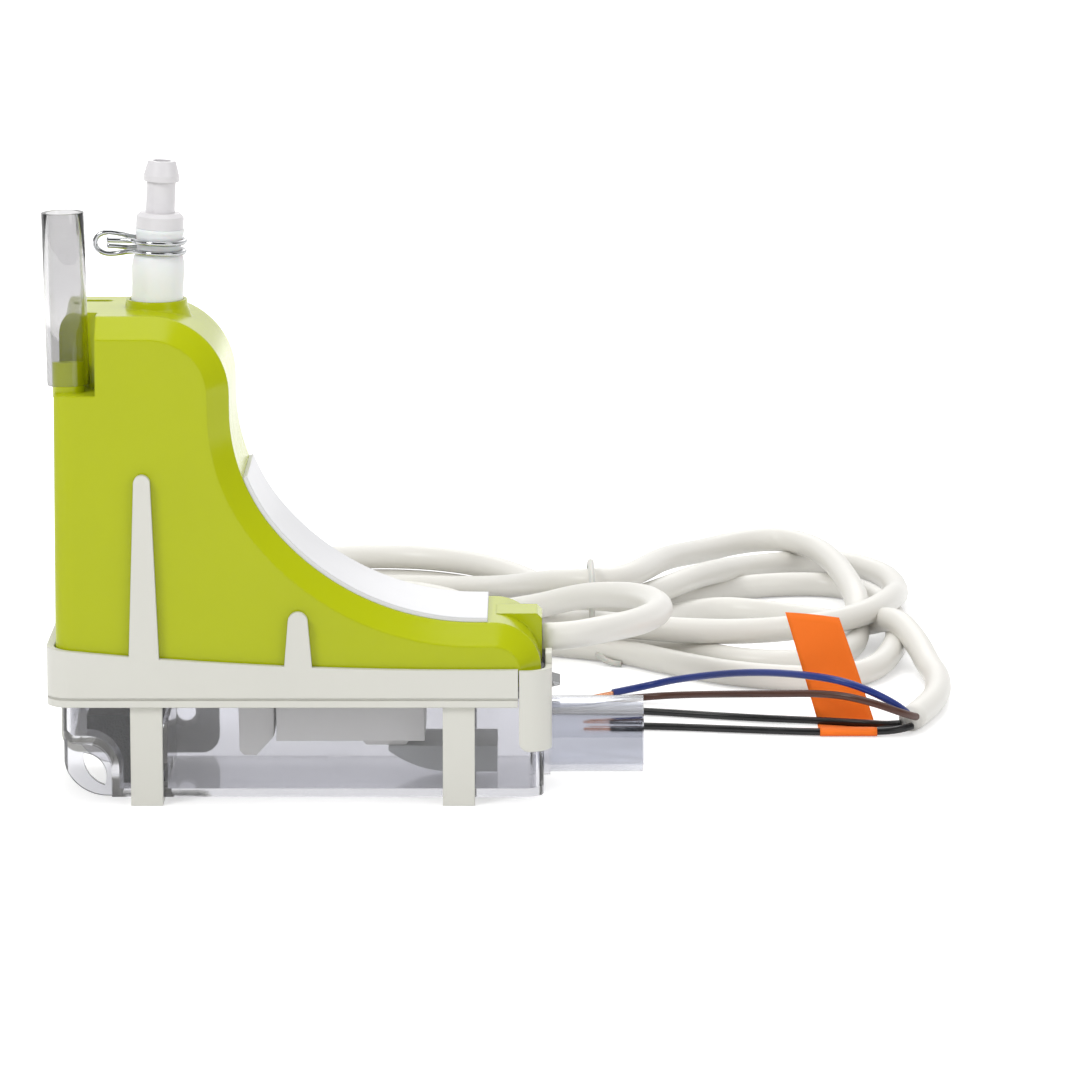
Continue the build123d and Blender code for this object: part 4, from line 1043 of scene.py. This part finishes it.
    def build(self, finishes: Finishes) -> None:
        points = trace(self.route())
        radii = [self.diameter / 2] * len(points)
        radii[0] *= self.gland_share
        radii[-1] *= self.cut_share
        mesh = sweep("supply_lead", points, radii, self.sides)
        lead = add_object("supply_lead", mesh, finishes["sheath_white"])
        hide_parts("lead_start", "lead_hank", "lead_tail")
        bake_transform(lead)


@dataclass
class Core:
    """One insulated core, from the sheath's end to its stripped tip."""

    name: str
    node: str
    finish: str
    points: Route
    diameter: float = 0.0017

    def build(self, finishes: Finishes) -> list[Vector]:
        """Args:
            finishes: the finishes by name.

        Returns:
            The points along it.
        """
        points = trace(self.points)
        core = spline_curve(self.name, self.points, self.diameter / 2)
        core.data.materials.append(finishes[self.finish])
        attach(core, Body.CRADLE.value)
        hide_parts(self.node)
        LOG.info("%s: %.4f m", self.name, length_of(points))
        return points


@dataclass
class Cores(Part):
    """The four cores and their twisted copper strands."""

    strands: int = 9
    strand_radius: float = 0.00014
    bundle_radius: float = 0.0003
    bare_length: float = 0.006
    twist: float = 0.6
    steps: int = 14
    spot_radius: float = 0.00001
    cores: tuple[Core, ...] = (
        Core("core_blue_wire", "core_blue", "core_blue", (
            (124.6, 49.2, 4.6), (122.4, 45.8, 7.3), (113, 46, 11.9), (104, 51, 12.9), (90, 69, 9.9),
            (75, 85, 4.8), (66, 90, 1.6), (59, 86.5, 0.95),
        )),
        Core("core_brown_wire", "core_brown", "core_brown", (
            (126.6, 48.7, 3.9), (123.4, 43.6, 5.8), (117, 43.6, 8.2), (108, 46.5, 9.8), (93.5, 58, 7.1),
            (75, 76, 2.9), (66, 80.5, 1.3), (58, 78.5, 0.95),
        )),
        Core("core_black_wire_1", "core_black_1", "core_black", (
            (123.2, 49.9, 2.1), (120.4, 50.8, 1.6), (115.8, 54.6, 1.1), (104.4, 58, 0.95),
            (88, 61, 0.95), (66, 67.6, 0.95), (58, 68.6, 0.95),
        )),
        Core("core_black_wire_2", "core_black_2", "core_black", (
            (125.6, 49, 1.7), (122.6, 46.4, 1.3), (116.2, 46.6, 0.95), (103.8, 46.2, 0.95),
            (87.5, 49, 0.95), (66, 52.6, 0.95), (58, 52.6, 0.95),
        )),
    )

    def strand_tree(self, material: Finish) -> Tree:
        """Builds the Geometry Nodes tree that stands a twisted bundle on each point of a mesh.

        Args:
            material: the strands' finish.

        Returns:
            The tree, with inputs for its sizes.
        """
        lengths = tuple((label, "Float") for label in ("Strand Radius", "Bundle Radius", "Length"))
        whole = (("Geometry", "Geometry"),)
        inputs = (*whole, ("Strands", "Int"), *lengths)
        tree, given, result = new_group("twisted_strands", "GeometryNodeTree", inputs, whole)
        put = given.outputs
        radius, strand = put["Bundle Radius"], put["Strand Radius"]
        wire = add_wire(tree, radius, put["Length"], self.twist, strand, self.steps)
        spots = add_node(tree, "GeometryNodePoints", Count=put["Strands"], Position=(0, 0, 0))
        share = maths(tree, "DIVIDE", tree.nodes.new("GeometryNodeInputIndex").outputs[0], put["Strands"])
        angles = add_node(tree, "ShaderNodeCombineXYZ", Z=maths(tree, "MULTIPLY", share, math.tau))
        bundle = stand_on(tree, spots.outputs[0], wire, angles.outputs[0])
        normal = tree.nodes.new("GeometryNodeInputNormal").outputs[0]
        along = add_node(tree, "FunctionNodeAlignRotationToVector", Vector=normal)
        along.axis = "Z"
        end_with(tree, result, stand_on(tree, put["Geometry"], bundle, along.outputs[0]), material)
        return tree

    def build(self, finishes: Finishes) -> None:
        """Builds the cores and their copper strands, as Part.build says."""
        spots: list[Vector] = []
        faces: list[tuple[int, int, int]] = []
        for core in self.cores:
            points = core.build(finishes)
            tip = points[-1]
            ahead = (tip - points[-3]).normalized()
            side = ahead.orthogonal().normalized() * self.spot_radius
            first = len(spots)
            spots.extend(tip + Quaternion(ahead, math.tau * step / 3) @ side for step in range(3))
            faces.append((first, first + 1, first + 2))
        mesh = bpy.data.meshes.new("strand_spots")
        mesh.from_pydata([tuple(point) for point in spots], [], faces)
        values = {
            "Strands": self.strands,
            "Strand Radius": self.strand_radius,
            "Bundle Radius": self.bundle_radius,
            "Length": self.bare_length,
        }
        holder = link_new("strand_spots", mesh)
        strands = run_nodes(holder, self.strand_tree(finishes["copper"]), values, "copper_strands")
        piece = add_object("copper_strands", strands, finishes["copper"])
        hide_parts("bare_ends")
        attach(piece, Body.CRADLE.value)


@dataclass
class WaistTie(Part):
    """The clear soft tie round the hank's waist, with its twisted ends."""

    middle: Point = (54.0, 135.2, 10.9)
    half_width: float = 13.0
    half_height: float = 10.2
    thickness: float = 1.5
    sides: int = 10
    sway: float = 0.5
    steps: int = 96
    squareness: float = 3.2
    start_turn: float = math.pi * 0.55
    ends: Route = ((56, 121.2, 2.4), (57.6, 119.6, 1.4), (59.4, 118.4, 1.0), (61.4, 117.8, 0.9))

    def rounded(self, share: float) -> float:
        """Returns a sine or cosine bent so that the loop's section is a rounded box."""
        return math.copysign(abs(share) ** (2 / self.squareness), share)

    def build(self, finishes: Finishes) -> None:
        """Builds the tie, as Part.build says."""
        x, y, z = self.middle
        path: list[Vector] = []
        for step in range(self.steps + 1):
            angle = math.tau * step / self.steps - self.start_turn
            across = self.rounded(math.cos(angle)) * self.half_width
            up = self.rounded(math.sin(angle)) * self.half_height
            path.append(Vector((x + self.sway * math.sin(angle / 2), y + across, z + up)) * MM)
        path.extend(Vector(point) * MM for point in self.ends)
        mesh = sweep("waist_tie", path, [self.thickness / 2 * MM] * len(path), self.sides)
        tie = add_object("waist_tie", mesh, finishes["tie_milky"])
        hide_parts("cable_tie")
        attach(tie, Body.CRADLE.value)


@dataclass
class Flag(Part):
    """The bare orange label, folded round the two black cores so that its leaf stands up."""

    foot_left: float = 104.9
    foot_width: float = 12.8
    lean: float = -7.4
    height: float = 25.6
    slope: float = 0.05
    taper: float = 0.05
    curl: float = 0.7
    curl_from: float = 12.0
    bow: float = 0.5
    stand_y: float = 59.7
    foot_z: float = 0.9
    thickness: float = 0.16
    leaf_rows: int = 14
    columns: int = 10
    fold: tuple[tuple[float, float], ...] = (
        (59.5, 0.45), (58.9, 0.2), (57.0, 0.14), (53.0, 0.12), (49.0, 0.12), (46.4, 0.14), (45.4, 0.3),
        (44.9, 0.95), (45.3, 1.7), (46.2, 2.0), (47.2, 1.85), (48.6, 1.0), (50.0, 0.5),
    )

    def outline(self) -> list[Point]:
        """Returns the section from the top edge to the fold's end: x shift, y and z in millimetres."""
        rows: list[Point] = []
        for step in range(self.leaf_rows + 1):
            share = 1 - step / self.leaf_rows
            bow = self.bow * math.sin(math.pi * share)
            level = self.foot_z + (self.height - self.foot_z) * share
            rows.append((self.lean * share, self.stand_y + bow, level))
        rows.extend((0, y, z) for y, z in self.fold)
        return rows

    def build(self, finishes: Finishes) -> None:
        """Builds the label, as Part.build says."""
        rows = self.outline()
        verts: list[Point] = []
        for shift, y, z in rows:
            for column in range(self.columns + 1):
                share = column / self.columns
                curl = self.curl * math.sin(math.pi * share) * min(1.0, z / self.curl_from)
                x = self.foot_left + shift + self.foot_width * share * (1 - self.taper * z / self.height)
                drop = 1 - self.slope * share * z / self.height
                verts.append((x * MM, (y + curl) * MM, z * drop * MM))
        width = self.columns + 1
        faces = [
            (row * width + c, row * width + c + 1, (row + 1) * width + c + 1, (row + 1) * width + c)
            for row in range(len(rows) - 1)
            for c in range(self.columns)
        ]
        mesh = bpy.data.meshes.new("orange_flag")
        mesh.from_pydata(verts, [], faces)
        flag = add_object("orange_flag", mesh, finishes["flag_orange"])
        wall = flag.modifiers.new("thickness", "SOLIDIFY")
        wall.thickness = self.thickness * MM
        wall.offset = 0.0
        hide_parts("flag_label")
        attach(flag, Body.CRADLE.value)


# ---------------------------------------------------------------- the pump


@dataclass
class SoftParts(Part):
    """Hoses, seals and foam: finer pieces that stand for the soft solids."""

    rows: tuple[tuple[str, str, str, Body, float], ...] = (
        ("breather_tube", "vent_tube", "vinyl_clear", Body.PUMP, 0.0001),
        ("suction_hose", "inner_hose", "silicone_white", Body.PUMP, 0.0002),
        ("base_seal", "rim_seal", "rubber_grey", Body.PUMP, 0.0001),
        ("rubber_mounts", "soft_mounts", "rubber_black", Body.PUMP, 0.0002),
        ("cable_gland", "lead_gland", "sheath_white", Body.PUMP, 0.0002),
        ("float", "foam_float", "foam_black", Body.FLOAT, 0.0004),
    )

    def build(self, finishes: Finishes) -> None:
        """Builds each soft piece, as Part.build says."""
        for node, name, finish, body, rounding in self.rows:
            piece = soft_copy(node, name, finishes[finish], rounding)
            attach(piece, body.value)
            LOG.info("%s stands for %s", name, node)


@dataclass
class Discharge(Part):
    """The white silicone hose, nipped by its clip, and the spring-wire clip round it, in millimetres."""

    lean: float = math.radians(2.7)
    foot: Point = (-39.3, 0.0, 103.2)
    hose_radius: float = 5.2
    bore: float = 3.1
    bore_wall: float = 0.9
    slices: int = 26
    plain_top: float = 0.8
    plain_foot: float = 3.0
    clip_level: float = 14.45
    clip_spread: float = 1.25
    nip: float = 0.34
    nip_reach: float = 2.6
    swell: float = 0.26
    swell_level: float = 7.6
    swell_reach: float = 2.4
    wire: float = 1.12
    sides: int = 12
    wire_gap: float = 0.05
    turn_climb: float = 0.35
    turn_steps: int = 20
    turn_angle: float = 314.0

    def axis(self) -> Vector:
        """Returns the hose's axis."""
        return Vector((math.sin(self.lean), 0.0, math.cos(self.lean)))

    def bulge(self, height: float) -> float:
        """Returns how far the hose's skin stands out at a height above its foot."""
        nip = math.exp(-(((height - self.clip_level) / self.nip_reach) ** 2))
        swell = math.exp(-(((height - self.swell_level) / self.swell_reach) ** 2))
        return -self.nip * nip + self.swell * swell

    def build_hose(self, finishes: Finishes) -> None:
        """Builds the hose, narrower under the clip and fuller below it, as Part.build says."""
        hose = soft_copy("discharge_hose", "silicone_hose", finishes["silicone_white"], 0.0)
        foot, axis = Vector(self.foot) * MM, self.axis()
        shape = working_copy(hose.data)
        levels = [(vert.co - foot).dot(axis) for vert in shape.verts]
        low, high = min(levels), max(levels)
        for step in range(1, self.slices):
            level = low + (high - low) * step / self.slices
            everything = list(shape.verts) + list(shape.edges) + list(shape.faces)
            bmesh.ops.bisect_plane(shape, geom=everything, plane_co=foot + axis * level, plane_no=axis)
        for vert in shape.verts:
            level = (vert.co - foot).dot(axis)
            spoke = vert.co - foot - axis * level
            plain = level > high - self.plain_top * MM or level < self.plain_foot * MM
            if not plain and spoke.length >= (self.bore + self.bore_wall) * MM:
                vert.co += spoke.normalized() * self.bulge(level / MM) * MM
        write_back(shape, hose.data)
        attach(hose, Body.PUMP.value)

    def clip_turn(self, ring: float, level: float) -> Route:
        """Winds one turn of the wire, which climbs as it goes.

        Args:
            ring: the turn's radius.
            level: where it starts.

        Returns:
            The turn's points.
        """
        turn = []
        for step in range(self.turn_steps + 1):
            angle = math.radians(-self.turn_angle / 2 + self.turn_angle * step / self.turn_steps)
            climb = self.turn_climb * step / self.turn_steps
            turn.append((ring * math.cos(angle), ring * math.sin(angle), level + climb))
        return tuple(turn)

    def clip_route(self) -> Route:
        """Returns the wire's route round a hose at the origin: tip, turn, ear, turn and tip."""
        ring = self.hose_radius - self.nip + self.wire / 2 + self.wire_gap
        spread = self.clip_spread
        tip = ((5.6, -1.15, 0.75), (3.6, -1.15, 0.75), (1.4, -1.5, 0.95))
        ear = (
            (0.9, 1.0, spread + 0.25),
            (3.0, 0.2, spread + 0.85),
            (5.6, 0.0, spread + 1.15),
            (7.6, 0.0, spread + 0.35),
        )
        ear_back = tuple((out, -y, -z) for out, y, z in reversed(ear))
        tip_back = tuple((out, -y, -z) for out, y, z in reversed(tip))
        runs = (tip, (*ear, (8.3, 0.0, 0.0), *ear_back), tip_back)
        start, middle, end = (tuple((-ring - out, y, z) for out, y, z in run) for run in runs)
        turns = self.clip_turn(ring, spread - self.turn_climb), self.clip_turn(ring, -spread)
        return start + turns[0] + middle + turns[1] + end

    def build_clip(self, finishes: Finishes) -> None:
        """Builds the wire clip, as Part.build says."""
        turn = Vector((0, 0, 1)).rotation_difference(self.axis())
        centre = (Vector(self.foot) + self.axis() * self.clip_level) * MM
        path = [centre + turn @ point for point in trace(self.clip_route())]
        mesh = sweep("wire_clip", path, [self.wire / 2 * MM] * len(path), self.sides)
        clip = add_object("wire_clip", mesh, finishes["bright_steel"])
        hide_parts("hose_clip")
        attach(clip, Body.PUMP.value)

    def build(self, finishes: Finishes) -> None:
        """Builds the hose and its clip, as Part.build says."""
        self.build_hose(finishes)
        self.build_clip(finishes)
        LOG.info("silicone_hose and wire_clip stand for discharge_hose and hose_clip")


@dataclass
class Springs(Part):
    """The two piston springs, as merged copies of their CAD nodes, left fixed in place."""

    rows: tuple[tuple[str, str, bool], ...] = (
        ("lower_spring", "foot_spring", True),
        ("upper_spring", "head_spring", False),
    )

    def build(self, finishes: Finishes) -> None:
        """Builds the springs, as Part.build says."""
        for node, name, held_below in self.rows:
            piece = soft_copy(node, name, finishes["bright_steel"], 0.0)
            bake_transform(piece)
            LOG.info("%s stands for %s", name, node)


@dataclass
class Winding(Part):
    """The solenoid's wound copper wire: an outer layer of turns over a wound core."""

    wire: float = 0.00056
    pitch: float = 1.02
    steps: int = 26
    bore_wall: float = 0.0008
    sink: float = 0.6

    def tree(self, material: Finish) -> Tree:
        """Builds the Geometry Nodes tree that winds a wire into a helix.

        Args:
            material: the wire's finish.

        Returns:
            The tree, with inputs for its sizes.
        """
        sizes = tuple((label, "Float") for label in ("Turns", "Radius", "Height", "Wire Radius", "Foot"))
        tree, given, result = new_group("wound_wire", "GeometryNodeTree", sizes, (("Geometry", "Geometry"),))
        put = given.outputs
        wire = add_wire(tree, put["Radius"], put["Height"], put["Turns"], put["Wire Radius"], self.steps)
        place = add_node(tree, "ShaderNodeCombineXYZ", Z=put["Foot"])
        lift = add_node(tree, "GeometryNodeTransform", Geometry=wire, Translation=place.outputs[0])
        end_with(tree, result, lift.outputs[0], material)
        return tree

    def build(self, finishes: Finishes) -> None:
        """Builds the winding on a slimmer wound body, as Part.build says."""
        low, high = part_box("coil_winding")
        middle = (low + high) / 2
        height = high.z - low.z - 2 * self.wire
        values = {
            "Turns": height / (self.wire * self.pitch),
            "Radius": (high.x - low.x) / 2 - self.wire / 2,
            "Height": height,
            "Wire Radius": self.wire / 2,
            "Foot": low.z + self.wire,
        }
        holder = link_new("wire_spot", bpy.data.meshes.new("wire_spot"))
        wire = run_nodes(holder, self.tree(finishes["winding_copper"]), values, "wound_wire")
        shape = working_copy(wire)
        bmesh.ops.translate(shape, vec=(middle.x, middle.y, 0), verts=shape.verts)
        core = working_copy(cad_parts["coil_winding"].data)
        bmesh.ops.remove_doubles(core, verts=core.verts, dist=WELD)
        spokes = {vert: Vector((vert.co.x - middle.x, vert.co.y - middle.y, 0)) for vert in core.verts}
        bore = min(spoke.length for spoke in spokes.values())
        for vert, spoke in spokes.items():
            if spoke.length > bore + self.bore_wall:
                vert.co -= spoke.normalized() * self.wire * self.sink
        spare = bpy.data.meshes.new("wound_body")
        write_back(core, spare)
        shape.from_mesh(spare)
        bpy.data.meshes.remove(spare)
        write_back(shape, wire)
        piece = add_object("copper_winding", wire, finishes["winding_copper"])
        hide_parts("coil_winding")
        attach(piece, Body.PUMP.value)
        LOG.info("copper_winding: %.0f turns", values["Turns"])


@dataclass
class HardParts(Part):
    """The CAD nodes that stay, by the finish that they take."""

    wearers: tuple[tuple[str, tuple[str, ...]], ...] = (
        ("cradle_white", ("wall_cradle", "end_clip")),
        ("tank_clear", ("reservoir",)),
        ("magnet_grey", ("float_magnet",)),
        ("base_white", ("pump_base",)),
        ("cover_lime", ("pump_cover",)),
        ("panel_white", ("cover_panel",)),
        ("mesh_grey", ("inlet_filter",)),
        ("yoke_steel", ("solenoid_yoke", "pump_cylinder", "piston")),
        ("adaptor_white", ("inlet_valve", "outlet_valve", "discharge_adaptor")),
        ("board_green", ("circuit_board",)),
        ("part_black", ("coil_bobbin", "board_parts", "level_sensor")),
        ("bright_steel", ("cover_screws",)),
    )

    def build(self, finishes: Finishes) -> None:
        """Dresses each node, as Part.build says."""
        for finish, nodes in self.wearers:
            for node in nodes:
                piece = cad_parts[node]
                for slot in piece.material_slots:
                    slot.material = finishes[finish]
                if not piece.material_slots:
                    piece.data.materials.append(finishes[finish])
                LOG.info("%s wears %s", node, finish)


# ---------------------------------------------------------------- the whole object


def main() -> None:
    """Builds the studio, the lead and the pump in order."""
    logging.basicConfig(level=logging.INFO)
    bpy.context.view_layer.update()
    Studio().build()
    finishes = {finish.name: finish.build() for finish in FINISHES}
    for part in (
        Lead(), Cores(), WaistTie(), Flag(), SoftParts(), Discharge(), Springs(), Winding(), HardParts()
    ):
        part.build(finishes)


if __name__ == "__main__":
    main()
